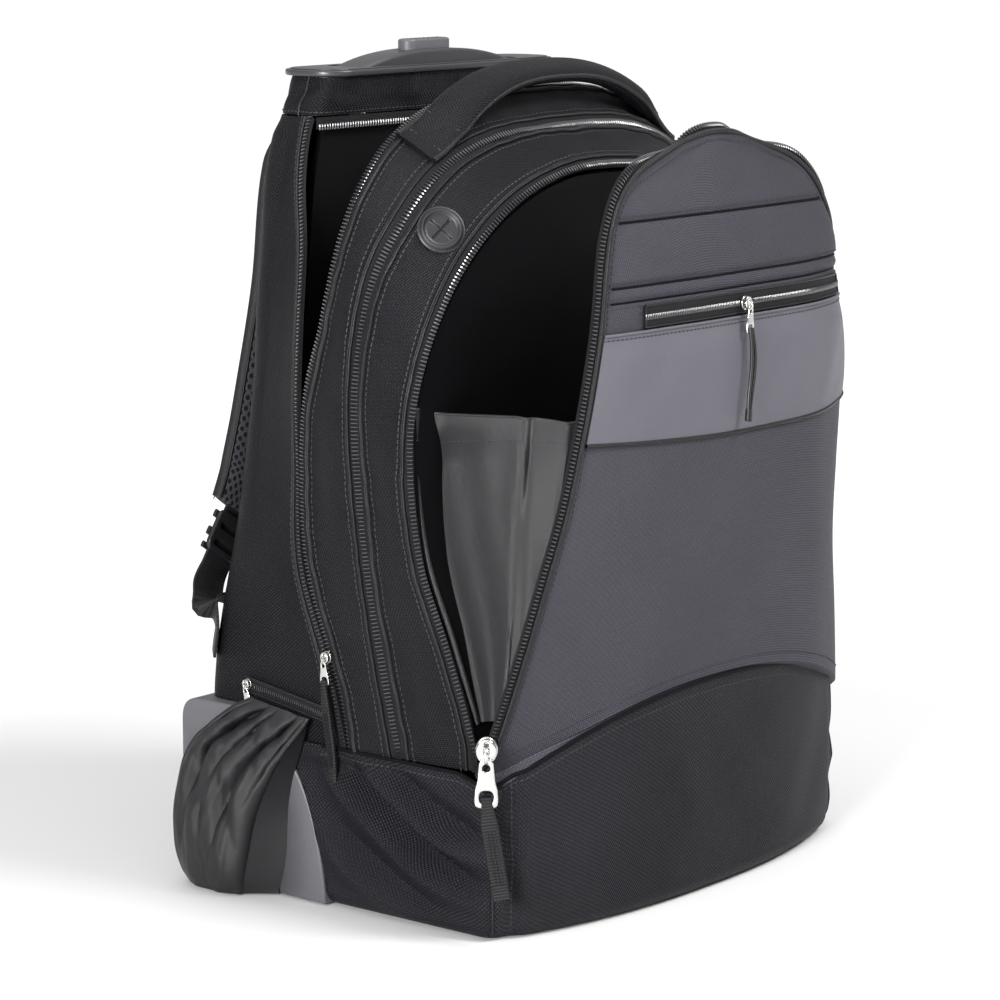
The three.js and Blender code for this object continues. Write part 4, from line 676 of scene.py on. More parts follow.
STITCH = bead(0.8, 2.5, 0.6, 4)
TOOTH = bead(4.8, 1.3, 2.1, 5)
SMALL_TOOTH = bead(3.9, 1.2, 1.8, 5)
TOOTH_PITCH = 2.3
STITCH_PITCH = 3.6


def stitches(lines):
    """Dashes of thread along lines, which are pairs of a route and its way out."""
    return [beads_form(route, out, STITCH_PITCH, STITCH) for route, out in lines]


def stitched(name, lines, slot):
    return pieces(name, stitches(lines), THREAD, slot)


def cord(route, out, radius, count=8):
    """A round cord along a route."""
    return sweep_form(route, out, circle(radius, count))


def tape(name, grid, normals, **more):
    """The cloth tape of a zip, a little proud of the cloth beside it."""
    return sheet(name, grid, normals, TAPE_SHEET, TAPE_CLOTH, "zip", proud=TAPE_PROUD, **more)


def outline_piece(name, outlines, depth, finish, slot, bevel=0.4, turn=None, at=(0, 0, 0), rounds=2, **more):
    """A plate with rounded edges from closed outlines; an outline inside another is a hole.

    The outlines lie in X and Y, and the plate is as thick as depth from z = 0 up.
    Then it is turned and put in its place.
    """
    curve = bpy.data.curves.new(name, "CURVE")
    curve.dimensions = "2D"
    curve.fill_mode = "BOTH"
    for outline in outlines:
        spline = curve.splines.new("POLY")
        spline.points.add(len(outline) - 1)
        spline.use_cyclic_u = True
        for point, (x, y) in zip(spline.points, outline):
            point.co = (x, y, 0, 1)
    curve.extrude = depth / 2 - bevel
    curve.bevel_depth = bevel
    curve.bevel_resolution = rounds
    curve.offset = -bevel
    shape = linked(name, curve)
    mesh = bpy.data.meshes.new_from_object(shape)
    bpy.data.objects.remove(shape)
    points = np.array([v.co for v in mesh.vertices]).reshape(-1, 3) + (0, 0, depth / 2)
    faces = [list(polygon.vertices) for polygon in mesh.polygons]
    bpy.data.meshes.remove(mesh)
    turn = np.eye(3) if turn is None else np.asarray(turn, float)
    places = points @ turn + np.asarray(at, float)
    made = piece(name, places, faces, finish, slot, flat=points[:, :2], **more)
    return weld(made, 2e-6)


def cut(made, *tools):
    """Takes the tools' shapes out of a piece, and removes the tools."""
    for tool in tools:
        change = made.modifiers.new("cut", "BOOLEAN")
        change.operation = "DIFFERENCE"
        change.object = tool
    bpy.context.view_layer.update()
    ready = made.evaluated_get(bpy.context.evaluated_depsgraph_get())
    mesh = bpy.data.meshes.new_from_object(ready)
    made.modifiers.clear()
    made.data = mesh
    for tool in tools:
        bpy.data.objects.remove(tool)
    return made


def tool(name, outlines, depth, turn, at):
    """A shape that is only used for cutting."""
    made = outline_piece(name, outlines, depth, CHROME, "chrome", bevel=0, turn=turn, at=at, rounds=0)
    made.parent = None
    return made


# How an outline stands up to face the front: the rows are where its X, its Y and its thickness go
FACING = [(1, 0, 0), (0, 0, 1), (0, -1, 0)]


def rectangle(width, height, radius, x=0.0, y=0.0, count=6):
    return rounded(width, height, radius, count) + (x, y)


# Arches that the zips follow
ARCH_SIDE = 5 / 26  # share of an arch's parameter on each straight side


def arch(line, s, foot=BACK_FOOT, back=0.0, out=0.0):
    """Points of an arch from its left foot over its top to its right foot."""
    half = line["half"] * HALF + out
    shoulder = line["shoulder"] * line["top"]
    rise = line["top"] - shoulder + out
    side = np.clip(np.minimum(s, 1 - s) / ARCH_SIDE, 0, 1)
    turn = np.clip((s - ARCH_SIDE) / (1 - 2 * ARCH_SIDE), 0, 1) * np.pi
    bend = 2 / line["power"]
    cos = np.cos(turn)
    sin = np.clip(np.sin(turn), 0, None)
    x = -half * np.sign(cos) * np.abs(cos) ** bend
    z = np.where(side < 1, mix(foot, shoulder, side), shoulder + rise * sin**bend)
    y = BACK_DEPTH * along(line["depths"], "back", z / line["top"]) + back
    return np.stack([x, y, z], -1)


def arch_depth(line, z):
    return BACK_DEPTH * along(line["depths"], "back", z / line["top"])


def even_shares(line, count):
    fine = np.linspace(0, 1, 6001)
    run = runs(arch(line, fine))
    return np.interp(np.linspace(0, run[-1], count), run, fine)


ARCH_SHARES = even_shares(MAIN_ARCH, 300)
BAND_ROWS = np.linspace(0, 1, 300)


def share_row(s):
    """Where an arch's parameter falls in the evenly spaced rows."""
    return np.interp(s, ARCH_SHARES, BAND_ROWS)


def band_cloth(rear_arch, front_arch, seed):
    """The gusset between two arches, with puckers along its seams."""
    rear = arch(rear_arch, ARCH_SHARES)
    front = arch(front_arch, ARCH_SHARES)
    shoulder = rear_arch["shoulder"] * rear_arch["top"]
    out = unit(np.stack([rear[:, 0], 0 * rear[:, 0], np.maximum(rear[:, 2] - shoulder, 0)], -1))
    w = np.linspace(0, 1, 61)[None, :, None]
    grid = rear[:, None] * (1 - w) + front[:, None] * w + out[:, None] * 10 * w * (1 - w)
    cloth = Cloth(grid, -1)
    width = np.linalg.norm(front - rear, axis=-1)[:, None]
    run = runs(rear)[:, None]
    share = w[..., 0]
    inner = np.sin(np.pi * share) ** 0.6
    near = np.minimum(share, 1 - share) * width
    pucker = np.exp(-((near - 9) / 7) ** 2) * np.sin(run / 4.1 + 2 * np.sin(run / 23)) * 0.35
    soft = rumple(grid, 70, 1.5, seed) * inner + pucker
    return cloth.pressed(soft), width[:, 0]


MAIN_BAND, MAIN_WIDTH = band_cloth(LAPTOP_ARCH, MAIN_ARCH, 3)
FRONT_BAND, FRONT_WIDTH = band_cloth(MAIN_ARCH, FRONT_ARCH, 4)


def strip(band, width, rear, front, columns):
    """Grid and normals of a strip of a band.

    Each edge is a distance from the band's rear or, where it is below 0, from the band's front.
    """
    def share(distance):
        return np.where(distance < 0, 1 + distance / width, distance / width)

    s = np.linspace(0, 1, columns)[None]
    b = mix(share(np.float64(rear))[:, None], share(np.float64(front))[:, None], s)
    return band.at(BAND_ROWS[:, None], b)


def band_line(band, width, distance, height=0.0):
    share = 1 + distance / width if distance < 0 else distance / width
    return band.lifted(BAND_ROWS, share, height)


def band_pieces():
    main = (MAIN_BAND, MAIN_WIDTH)
    front = (FRONT_BAND, FRONT_WIDTH)
    edge = 0.3
    zip_seam = ZIP_HALF + edge
    tape_seam = TAPE + edge
    sheet("main_gusset_cloth", *strip(*main, tape_seam, -zip_seam, 28), CLOTH, GUSSET, "gusset_cloth",
          replaces="main_gusset")
    gusset = sheet("front_gusset_cloth", *strip(*front, zip_seam, -tape_seam, 34), CLOTH, GUSSET,
                   "gusset_cloth", replaces="front_gusset")
    tape("laptop_zip_front_tape", *strip(*main, edge, TAPE, 6), replaces="laptop_zip_front")
    tape("front_zip_body_tape", *strip(*front, -TAPE, -edge, 6), replaces="front_zip_body")
    halves = (strip(*main, -ZIP_HALF, -edge, 5), strip(*front, edge, ZIP_HALF, 5))
    grid, normals = (np.concatenate(both, 1) for both in zip(*halves))
    tape("main_zip_tape", grid, normals, replaces="main_zip")
    teeth = [
        beads_form(*band_line(*band, distance, height), TOOTH_PITCH, form)
        for band, distance, height, form in [
            (main, 1.8, 0.9, SMALL_TOOTH),
            (front, -1.9, 0.9, SMALL_TOOTH),
            (main, -0.1, 1.0, TOOTH),
        ]
    ]
    pieces("gusset_zip_teeth", teeth, COIL, "zip")
    tubes, lines = [], []
    for band, side, piping, stitch in [
        (main, -1, ZIP_HALF + 0.2, ZIP_HALF + 4.2),
        (front, 1, ZIP_HALF + 0.2, ZIP_HALF + 4.2),
        (main, 1, TAPE + 0.4, TAPE + 4),
        (front, -1, TAPE + 0.4, TAPE + 4),
    ]:
        tubes.append(cord(*band_line(*band, side * piping, 0.5), 1.5))
        lines.append(band_line(*band, side * stitch, 0.1))
    pieces("gusset_piping", tubes, PIPING, "gusset_cloth")
    stitched("gusset_stitches", lines, "gusset_cloth")
    return gusset


# Cable port on the front gusset
PORT_RADIUS = 14
PORT_SHARE = 9 / 26


def frame_at(out, up):
    """Turn matrix of a form that stands at a place: its Y goes up and its Z goes out."""
    out = unit(np.asarray(out, float))
    up = np.asarray(up, float)
    up = unit(up - out * np.dot(up, out))
    return np.stack([np.cross(up, out), up, out])


def port(gusset):
    at, out = FRONT_BAND.at(share_row(PORT_SHARE), 0.5)
    turn = frame_at(out, (0, 0, 1))
    ring = PORT_RADIUS
    cut(gusset, tool("port_hole", [circle(ring - 1, 40)], 24, turn, at - 12 * out))
    radius = np.linspace(0, ring, 38)[:, None]
    angle = np.linspace(0, 2 * np.pi, 96, endpoint=False)[None]
    x = radius * np.cos(angle)
    y = radius * np.sin(angle)
    rim = 1.6 * np.exp(-(((radius - ring + 2.6) / 1.5) ** 2)) + 0.5 * smooth(ring - 1.2, ring - 2.4, radius)
    groove = np.minimum(np.abs(x - y), np.abs(x + y)) / np.sqrt(2)
    slit = -1.3 * (1 - smooth(0.25, 0.8, groove)) * (1 - smooth(7.4, 8.4, radius))
    height = rim + slit + 0 * x
    grid = at + x[..., None] * turn[0] + y[..., None] * turn[1] + height[..., None] * out
    sheet("cable_port_rubber", grid[1:], np.broadcast_to(out, grid[1:].shape), 2.4, PORT_RUBBER, "rubber",
          wrap=True, replaces="cable_port", sharp=1.2)


# Base
def front_line(x):
    return -FRONT_DEPTH - FRONT_BULGE * (1 - np.minimum(np.abs(x / HALF), 1) ** 2.45)


def arc(x, y, radius, start):
    angle = np.radians(start) + np.linspace(0, np.pi / 2, 24)
    return np.stack([x + radius * np.cos(angle), y + radius * np.sin(angle)], -1)


def base_plan():
    """The base seen from above, from the middle of its back round its left side."""
    inside = HALF - BASE_CORNER
    front_x = np.linspace(-inside + 6, inside - 6, 120)
    line = np.concatenate([
        [(0, BASE_BACK)],
        arc(-inside, BASE_BACK - BASE_CORNER, BASE_CORNER, 90),
        arc(-inside, -FRONT_DEPTH + BASE_CORNER - 2, BASE_CORNER, 180),
        np.stack([front_x, front_line(front_x)], -1),
        arc(inside, -FRONT_DEPTH + BASE_CORNER - 2, BASE_CORNER, 270),
        arc(inside, BASE_BACK - BASE_CORNER, BASE_CORNER, 0),
        [(0, BASE_BACK)],
    ])
    plan = even_line(line, 761)
    for _ in range(5):
        plan[1:-1] = (plan[:-2] + 2 * plan[1:-1] + plan[2:]) / 4
    return plan[::2]


def seam_height(x, y):
    forward = np.clip((-y - 0.8 * FRONT_DEPTH) / (0.2 * FRONT_DEPTH), 0, 1)
    rise = (BASE_ARCH + BASE_CORNER_DROP) * (1 - np.minimum(np.abs(x / HALF), 1) ** 2.3)
    return mix(BASE_HEIGHT, BASE_HEIGHT - BASE_CORNER_DROP + rise, forward)


def base_cloth():
    plan = base_plan()
    way = unit(np.gradient(plan, axis=0))
    out = np.stack([way[:, 1], -way[:, 0]], -1)
    seam = seam_height(plan[:, 0], plan[:, 1])
    turn = np.linspace(0, np.pi / 2, 9)[:-1]
    hem = [(-BASE_HEM * (1 - np.sin(a)), BASE_HEM * (1 - np.cos(a)) + 0 * seam) for a in turn]
    side = [(1.5 * np.sin(np.pi * h), mix(BASE_HEM, seam, h)) for h in np.linspace(0, 1, 42)]
    rows = [np.column_stack([plan + out * move, z]) for move, z in [*hem, *side]]
    cloth = Cloth(np.array(rows), -1)
    p = cloth.grid
    flat = np.stack([p[..., 1], p[..., 2]], -1)
    left = smooth(-120, -170, p[..., 0]) * smooth(24, -14, p[..., 1])
    right = smooth(120, 170, p[..., 0]) * smooth(34, 4, p[..., 1])
    folds = sum(
        crease(flat, start, end, width, depth)
        for start, end, width, depth in [
            ((30, 106), (-112, 16), 6, 9.0),
            ((12, 106), (-116, 30), 6, -9.5),
            ((-6, 106), (-118, 44), 6, 9.0),
            ((-24, 106), (-118, 60), 6, -7.5),
            ((38, 84), (-100, 2), 7, -7.0),
            ((40, 62), (-80, -4), 7, 5.5),
        ]
    )
    rise = smooth(0, 20, p[..., 2]) * smooth(0, 14, seam[None] - p[..., 2])
    soft = rumple(p, 95, 1.6, 11) * rise * 0.7
    return cloth.pressed((left * folds + 0.8 * right * folds) * rise + soft), plan


def housing_outline(low, grow=0.0):
    """The wheel housing seen from the side: Y and Z, from its foot in front over its top to its back."""
    def bend(a, b, c, count=14):
        s = np.linspace(0, 1, count)[:, None]
        return (1 - s) ** 2 * np.array(a) + 2 * s * (1 - s) * np.array(b) + s**2 * np.array(c)

    h = HOUSING_HEIGHT
    return np.concatenate([
        bend((8 - grow, low), (14 - grow, 0.62 * h + grow), (44 - grow, 0.84 * h + grow)),
        bend((44 - grow, 0.84 * h + grow), (58 - grow, h + grow), (86, h + grow))[1:],
        bend((HOUSING_BACK - 14, h + grow), (HOUSING_BACK + grow, h + grow), (HOUSING_BACK + grow, h - 14)),
        [(HOUSING_BACK + grow, low)],
    ])


def well_outline(radius):
    angle = np.linspace(0, np.pi, 40)
    arc_points = np.stack([WHEEL_Y + radius * np.cos(angle), WHEEL_RADIUS + radius * np.sin(angle)], -1)
    return np.concatenate([arc_points, [(WHEEL_Y - radius, -10), (WHEEL_Y + radius, -10)]])


def side_place(side, x):
    """Place of a form that is drawn sideways: its inner face is at x from the middle plane."""
    return (side * x, 0, 0)


def sideways(side):
    """How an outline stands up to face a side, as FACING says it."""
    return [(0, 1, 0), (0, 0, 1), (side, 0, 0)]


def housing_holes():
    """Shapes that cut the places of the wheel housings out of the cloth."""
    inside = HOUSING_INSIDE - 0.5
    return [
        tool("housing_hole", [housing_outline(-10, 0.5)], 200, sideways(side), side_place(side, inside))
        for side in (1, -1)
    ]


def base_pieces():
    cloth, plan = base_cloth()
    grid, normals = cloth.grid, cloth.normals
    centre = np.array([0, -10, 0.0])
    floor = np.array([mix(grid[0], centre, s) for s in (0.995, 0.8, 0.5, 0.2)])
    down = np.broadcast_to(np.array([0, 0, -1.0]), floor.shape)
    points = np.concatenate([floor, grid])[:, :-1]
    ways = np.concatenate([down, normals])[:, :-1]
    shell = sheet("base_cloth", points, ways, CLOTH, BALLISTIC, "cloth", wrap=True, replaces="base_shell")
    cut(shell, *housing_holes())
    share = np.linspace(0, 1, grid.shape[1])
    ahead = share[plan[:, 1] < 12]
    route, out = cloth.lifted(1.0, ahead, 0.6)
    # A cord in the darker copy of the lining along the base's top seam: painted shade of the seam.
    pieces("base_seam_piping", [cord(route, out, 1.1, 10)], LINING_PAINTED_SHADE, "cloth")
    lines = [cloth.lifted(0.95, ahead, 0.0)]
    for x, name in ((-1, "left"), (1, "right")):
        off = np.abs(plan[:, 0] - x * (HALF - 5)) + np.abs(plan[:, 1] + FRONT_DEPTH - 4)
        corner = np.argmin(off)
        route, out = cloth.lifted(np.linspace(0.1, 0.99, 60), share[corner], 0.2)
        pieces("base_corner_seam_" + name, [cord(route, out, 0.9)], PIPING, "cloth")
        lines.append(cloth.lifted(np.linspace(0.12, 0.97, 60), share[corner - 4 * x], 0.0))
    stitched("base_stitches", lines, "cloth")


# Back section
def back_path(z, count=220):
    """The back section from above at a height, from the right zip tape to the left one, and its length."""
    at = z / BACK_HEIGHT
    half = HALF * along(BACK_ROWS, "half", at)
    back = BACK_DEPTH * along(BACK_ROWS, "back", at)
    edge = (HALF * along(BACK_ROWS, "edge", at), BACK_DEPTH * along(BACK_ROWS, "edgeBack", at))
    right = np.concatenate([[edge], arc(half - BACK_CORNER, back - BACK_CORNER, BACK_CORNER, 0)])
    line = np.concatenate([right, (right * (-1, 1))[::-1]])
    return even_line(line, count), runs(line)[-1]


def back_cloth(low, high, count):
    heights = np.linspace(low, high, count)
    rows = []
    lengths = []
    for z in heights:
        path, length = back_path(z)
        rows.append(np.column_stack([path, np.full(len(path), z)]))
        lengths.append(length)
    cloth = Cloth(np.array(rows), -1)
    p = cloth.grid
    s = np.linspace(0, 1, p.shape[1])[None]
    edge = np.minimum(s, 1 - s)
    inner = smooth(0.02, 0.1, edge)
    level = (heights - low)[:, None]
    ends = smooth(0, 25, level) * smooth(0, 14, high - heights[:, None])
    swell = 2.5 * np.exp(-(((edge - 0.13) / 0.08) ** 2)) * smooth(0, 120, level)
    hollow = -2.2 * np.exp(-(((edge - 0.07) / 0.04) ** 2)) * smooth(40, 160, level)
    soft = rumple(p * (1, 1, 0.45), 60, 1.3, 21)
    return cloth.pressed((soft + swell + hollow) * inner * ends), np.array(lengths)


def back_pieces():
    top = COLLAR_LOW - 1
    cloth, lengths = back_cloth(BACK_FOOT, top, 120)
    rows = np.linspace(0, 1, 120)
    inset = (TAPE + 0.3) / lengths[:, None]
    s = np.linspace(0, 1, 150)[None]
    grid, normals = cloth.at(rows[:, None], mix(inset, 1 - inset, s))
    # The back section takes the darker copy of the ballistic weave: painted shade.
    shell = sheet("back_cloth", grid, normals, CLOTH, BALLISTIC_PAINTED_SHADE, "cloth", replaces="back_shell")
    cut(shell, *housing_holes())
    tapes, teeth, tubes, lines = [], [], [], []
    for flip in (False, True):
        def read(distance, height=0.0):
            share = distance / lengths
            return cloth.lifted(rows, 1 - share if flip else share, height)

        share = np.linspace(0.3, TAPE, 5)[None] / lengths[:, None]
        grid, out = cloth.at(rows[:, None], 1 - share if flip else share)
        tapes.append(sheet_form(grid, out, TAPE_SHEET, TAPE_PROUD))
        teeth.append(beads_form(*read(1.8, 0.9), TOOTH_PITCH, SMALL_TOOTH))
        tubes.append(cord(*read(TAPE + 0.4, 0.5), 1.5, 10))
        lines.append(read(TAPE + 4.5, 0.1))
    right, left = back_path(top)[0][[0, -1]]
    x = np.linspace(right[0] - 2, left[0] + 2, 60)
    front = np.stack([x, np.full(60, COLLAR_FRONT), np.full(60, top)], -1)
    ahead = np.tile([0.0, -1.0, 0.0], (60, 1))
    grid = np.stack([front, front + (0, 0, -TAPE)], 1)
    tapes.append(sheet_form(grid, np.stack([ahead, ahead], 1), TAPE_SHEET, TAPE_PROUD))
    teeth.append(beads_form(front + (0, -1.2, -TAPE + 1.6), ahead, TOOTH_PITCH, SMALL_TOOTH))
    pieces("laptop_zip_back_tape", tapes, TAPE_CLOTH, "zip", replaces="laptop_zip_back")
    pieces("laptop_zip_back_teeth", teeth, COIL, "zip")
    pieces("back_piping", tubes, PIPING, "cloth")
    stitched("back_stitches", lines, "cloth")
    collar()


def collar():
    rows = []
    for z in np.linspace(COLLAR_LOW, BACK_HEIGHT, 14):
        path, _ = back_path(z, 200)
        x = np.linspace(path[-1, 0], path[0, 0], 80)[1:-1]
        closed = np.concatenate([path, np.stack([x, np.full(78, COLLAR_FRONT)], -1)])
        for _ in range(6):
            closed = (np.roll(closed, 1, 0) + 2 * closed + np.roll(closed, -1, 0)) / 4
        rows.append(np.column_stack([closed, np.full(len(closed), z)]))
    grid = np.array(rows)
    cloth = Cloth(grid, -1)
    level = (grid[..., 2] - COLLAR_LOW) / COLLAR_HEIGHT
    cloth = cloth.pressed((rumple(grid, 34, 2.0, 31) + 0.8) * np.sin(np.pi * np.clip(level, 0, 1)))
    # The collar takes the darker copy of the ballistic weave: painted shade.
    sheet("collar_cloth", cloth.grid, cloth.normals, CLOTH, BALLISTIC_PAINTED_SHADE, "cloth", wrap=True,
          replaces="top_collar")
    route = cloth.grid[1] + cloth.normals[1] * 0.3
    closed = [np.concatenate([v, v[:2]]) for v in (route, cloth.normals[1])]
    lines = [closed]
    for column in (10, 189):
        out = cloth.normals[:, column]
        seam = cloth.grid[:, column] + out * 0.2
        lines.append((seam, out))
        pieces(f"collar_seam_{column}", [cord(seam, out, 0.8)], PIPING, "cloth")
    stitched("collar_stitches", lines, "cloth")


# Inner walls of the compartments
def wall_rows(points, columns):
    """Each pair of facing arch points gives a row of a wall that fills the arch."""
    half = len(points) // 2
    c = np.linspace(0, 1, columns)[None, :, None]
    return points[:half, None] * (1 - c) + points[::-1][:half, None] * c


def wall(name, grid, thickness, node_name, seed, depth=1.0):
    down, across = (np.sin(np.pi * np.linspace(0, 1, count)) for count in grid.shape[:2])
    inner = down[:, None] * across
    cloth = Cloth(grid).pressed(rumple(grid, 80, depth, seed) * inner**0.5)
    # The walls take the darker copy of the lining: painted shade inside the compartments.
    sheet(name, cloth.grid, cloth.normals, thickness, LINING_PAINTED_SHADE, "lining", replaces=node_name)


def inner_walls():
    foot = CLOTH + 2.5
    clear = HOUSING_HEIGHT + 4
    y = TROLLEY_Y - 16 / 2 - PADDED_WALL - 1.5
    heights = np.concatenate([np.linspace(foot, clear, 16), np.linspace(clear + 1, COLLAR_LOW - 4, 50)])
    half = HALF * along(BACK_ROWS, "half", np.maximum(heights, BACK_FOOT) / BACK_HEIGHT) - CLOTH - 6
    reach = np.where(heights > clear, half, np.minimum(half, HOUSING_INSIDE - 3))
    x = np.linspace(-1, 1, 50)[None] * reach[:, None]
    grid = np.stack([x, np.full_like(x, y), np.broadcast_to(heights[:, None], x.shape)], -1)
    wall("laptop_wall_lining", grid, PADDED_WALL, "laptop_wall", 41, 0.6)
    shares = even_shares(LAPTOP_ARCH, 200)
    inset = -(CLOTH + 3 * 0.3)
    rows = wall_rows(arch(LAPTOP_ARCH, shares, BACK_FOOT, -2, inset - 3), 36)
    below = np.array([rows[0] * (0.985, 1, 0) + (0, 0, z) for z in np.linspace(foot, BACK_FOOT - 3, 12)])
    wall("main_wall_lining", np.concatenate([below, rows]), PADDED_WALL, "main_wall", 42)
    rows = wall_rows(arch(FRONT_ARCH, even_shares(FRONT_ARCH, 200), BASE_HEIGHT + 14, CLOTH + 2, inset), 36)
    ahead = []
    for s in (0, 0.15, 0.3, 0.5, 0.7, 0.85):
        x = rows[0][:, 0] * mix(0.9, 1, s)
        edge = np.stack([x, front_line(x) + CLOTH + 4, seam_height(np.abs(x), -FRONT_DEPTH) - 4], -1)
        ahead.append(mix(edge, rows[0], s))
    wall("front_wall_lining", np.concatenate([np.array(ahead), rows]), CLOTH, "front_wall", 43)


# Front flap
def catmull(points, count):
    """A centripetal curve through flat points, at even distances."""
    points = np.concatenate([[2 * points[0] - points[1]], points, [2 * points[-1] - points[-2]]])
    s = np.linspace(0, 1, 60)[:, None]
    line = []
    for k in range(len(points) - 3):
        p0, p1, p2, p3 = points[k : k + 4]
        d0, d1, d2 = (np.linalg.norm(b - a) ** 0.5 for a, b in ((p0, p1), (p1, p2), (p2, p3)))
        t1 = ((p1 - p0) / d0 - (p2 - p0) / (d0 + d1) + (p2 - p1) / d1) * d1
        t2 = ((p2 - p1) / d1 - (p3 - p1) / (d1 + d2) + (p3 - p2) / d2) * d1
        c2 = -3 * p1 + 3 * p2 - 2 * t1 - t2
        c3 = 2 * p1 - 2 * p2 + t1 + t2
        line.append(p1 + t1 * s + c2 * s**2 + c3 * s**3)
    return even_line(np.concatenate(line), count)


def flat_size(cloth):
    """Width and length of a cloth's cut, in metres, from the mean lengths along its rows and columns."""
    across = np.linalg.norm(np.diff(cloth.grid, axis=1), axis=-1).sum(1).mean()
    down = np.linalg.norm(np.diff(cloth.grid, axis=0), axis=-1).sum(0).mean()
    return across / 1000, down / 1000


def flap_height(t, seam):
    return mix(mix(seam + 1.8, BASE_HEIGHT + 21, min(t / 0.3, 1)), FLAP_TOP, t)


FLAP_SEAMS = (0.757, 0.868)
WINDOW_SEAM = 0.732


def flap_cloth():
    rows, columns = 150, 130
    grid = []
    for t in np.linspace(0, 1, rows):
        read = {key: float(along(FLAP_ROWS, key, t)) for key in FLAP_ROWS}
        opened = np.clip((t - FLAP_CLOSED) / (FLAP_FREE - FLAP_CLOSED), 0, 1)
        closed = arch_depth(FRONT_ARCH, flap_height(t, BASE_HEIGHT)) - TAPE - 0.9
        right = mix(FRONT_ARCH["half"], read["right"], opened)
        right_fore = mix(-closed / FLAP_REACH, read["rightFore"], opened)
        left, corner, fore = read["left"], read["corner"], read["fore"]
        places = [
            (left, read["leftFore"]),
            (left * 0.62, mix(read["leftFore"], fore, 0.75)),
            (mix(left, corner, 0.52), fore),
            (corner * 0.68, mix(read["cornerFore"], fore, 0.8)),
            (corner, read["cornerFore"]),
            (right, right_fore),
        ]
        line = catmull(np.array(places) * (HALF, -FLAP_REACH), columns)
        x, y = line.T
        z = [flap_height(t, seam_height(min(abs(a), HALF), b)) for a, b in line]
        u = np.linspace(-1, 1, columns)
        crown = 4.5 * (0.5 - u**2) * smooth(0.88, 1, t)
        grid.append(np.stack([x, y, z + crown], -1))
    cloth = Cloth(np.array(grid), -1)
    t = np.linspace(0, 1, rows)[:, None]
    u = np.linspace(0, 1, columns)[None]
    inner = (np.sin(np.pi * u) * np.sin(np.pi * t)) ** 0.4
    soft = rumple(cloth.grid * (1, 1, 0.6), 110, 1.8, 51) * inner
    for seam in (*FLAP_SEAMS, WINDOW_SEAM):
        soft = soft - 1.8 * np.exp(-(((t - seam) / 0.0055) ** 2)) * smooth(0, 0.03, u) * smooth(1, 0.95, u)
    pillow_shape = np.sin(np.pi * (t - FLAP_SEAMS[0]) / (FLAP_SEAMS[1] - FLAP_SEAMS[0])) ** 2
    soft = soft + 0.8 * pillow_shape * (t > FLAP_SEAMS[0]) * (t < FLAP_SEAMS[1]) * inner
    return cloth.pressed(soft)


FLAP = flap_cloth()


def flap_edge():
    """The flap's edge from its foot on the left over its top to its foot on the right."""
    t = np.linspace(0, 1, 150)
    u = np.linspace(0, 1, 90)[1:-1]
    a = np.concatenate([t, np.ones(88), t[::-1]])
    b = np.concatenate([np.zeros(150), u, np.ones(150)])
    inner_a = np.concatenate([t, np.full(88, 0.985), t[::-1]])
    inner_b = np.concatenate([np.full(150, 0.015), u, np.full(150, 0.985)])
    edge, normal = FLAP.at(a, b)
    near, _ = FLAP.at(inner_a, inner_b)
    edge, near, normal = even(2.0, edge, near, normal)
    for _ in range(10):
        edge[1:-1] = (edge[:-2] + 2 * edge[1:-1] + edge[2:]) / 4
        normal[1:-1] = unit((normal[:-2] + 2 * normal[1:-1] + normal[2:]) / 4)
    out = unit(np.cross(np.gradient(edge, axis=0), normal))
    out *= np.sign(np.sum(out * (edge - near)))
    return edge, out, normal


def flap_foot():
    """The strip that closes the flap's foot onto the base's front."""
    foot = FLAP.grid[0]
    x = np.clip(foot[:, 0], -HALF + 9, HALF - 9)
    base = np.stack([x, front_line(x) + 2.2, seam_height(np.abs(x), -FRONT_DEPTH) - 2], -1)
    across = np.linspace(0, 1, 5)[:, None, None]
    closing = foot[None] * (1 - across) + base[None] * across
    up = np.broadcast_to(np.array([0, -0.4, 0.9]), closing.shape)
    sheet("front_flap_foot", closing, up, 1.0, FLAP_CLOTH, "cloth")


def flap_pieces():
    made = sheet("front_flap_cloth", FLAP.grid, FLAP.normals, FLAP_WALL, FLAP_CLOTH, "cloth",
                 replaces="front_flap")
    flat_size(FLAP)
    edge, out, normal = flap_edge()
    lines = [(edge - out * 4.5 + normal * 0.1, normal)]
    back = 0.6 * smooth(FLAP_TOP - 22, FLAP_TOP - 4, edge[:, 2:])
    out, normal = out * np.cos(back) - normal * np.sin(back), normal * np.cos(back) + out * np.sin(back)
    across = np.linspace(0.4, TAPE, 5)[None, :, None]
    grid = edge[:, None] + out[:, None] * across
    normals = np.repeat(normal[:, None], 5, 1)
    tape("front_zip_flap_tape", grid, normals, replaces="front_zip_flap")
    teeth = beads_form(edge + out * (TAPE - 1.9) + normal * 0.9, normal, TOOTH_PITCH, SMALL_TOOTH)
    pieces("front_zip_flap_teeth", [teeth], COIL, "zip")
    piping = cord(edge + out * 0.3 + normal * 0.6, normal, 1.7, 10)
    pieces("front_flap_piping", [piping], PIPING, "cloth")
    u = np.linspace(0.03, 0.97, 160)
    # Cords in the darker copy of the lining, sunk in the seam grooves: painted shade in the grooves.
    welts = [cord(*FLAP.lifted(seam, u, -0.1), 0.8) for seam in (*FLAP_SEAMS, WINDOW_SEAM)]
    pieces("front_flap_welts", welts, LINING_PAINTED_SHADE, "cloth")
    flap_foot()
    for seam in FLAP_SEAMS:
        lines.append(FLAP.lifted(seam + 0.009, u, 0.15))
    lines.append(FLAP.lifted(WINDOW_SEAM - 0.008, u, 0.15))
    lines.append(FLAP.lifted(0.02, u, 0.15))
    stitched("front_flap_stitches", lines, "cloth")
    phone_pocket()


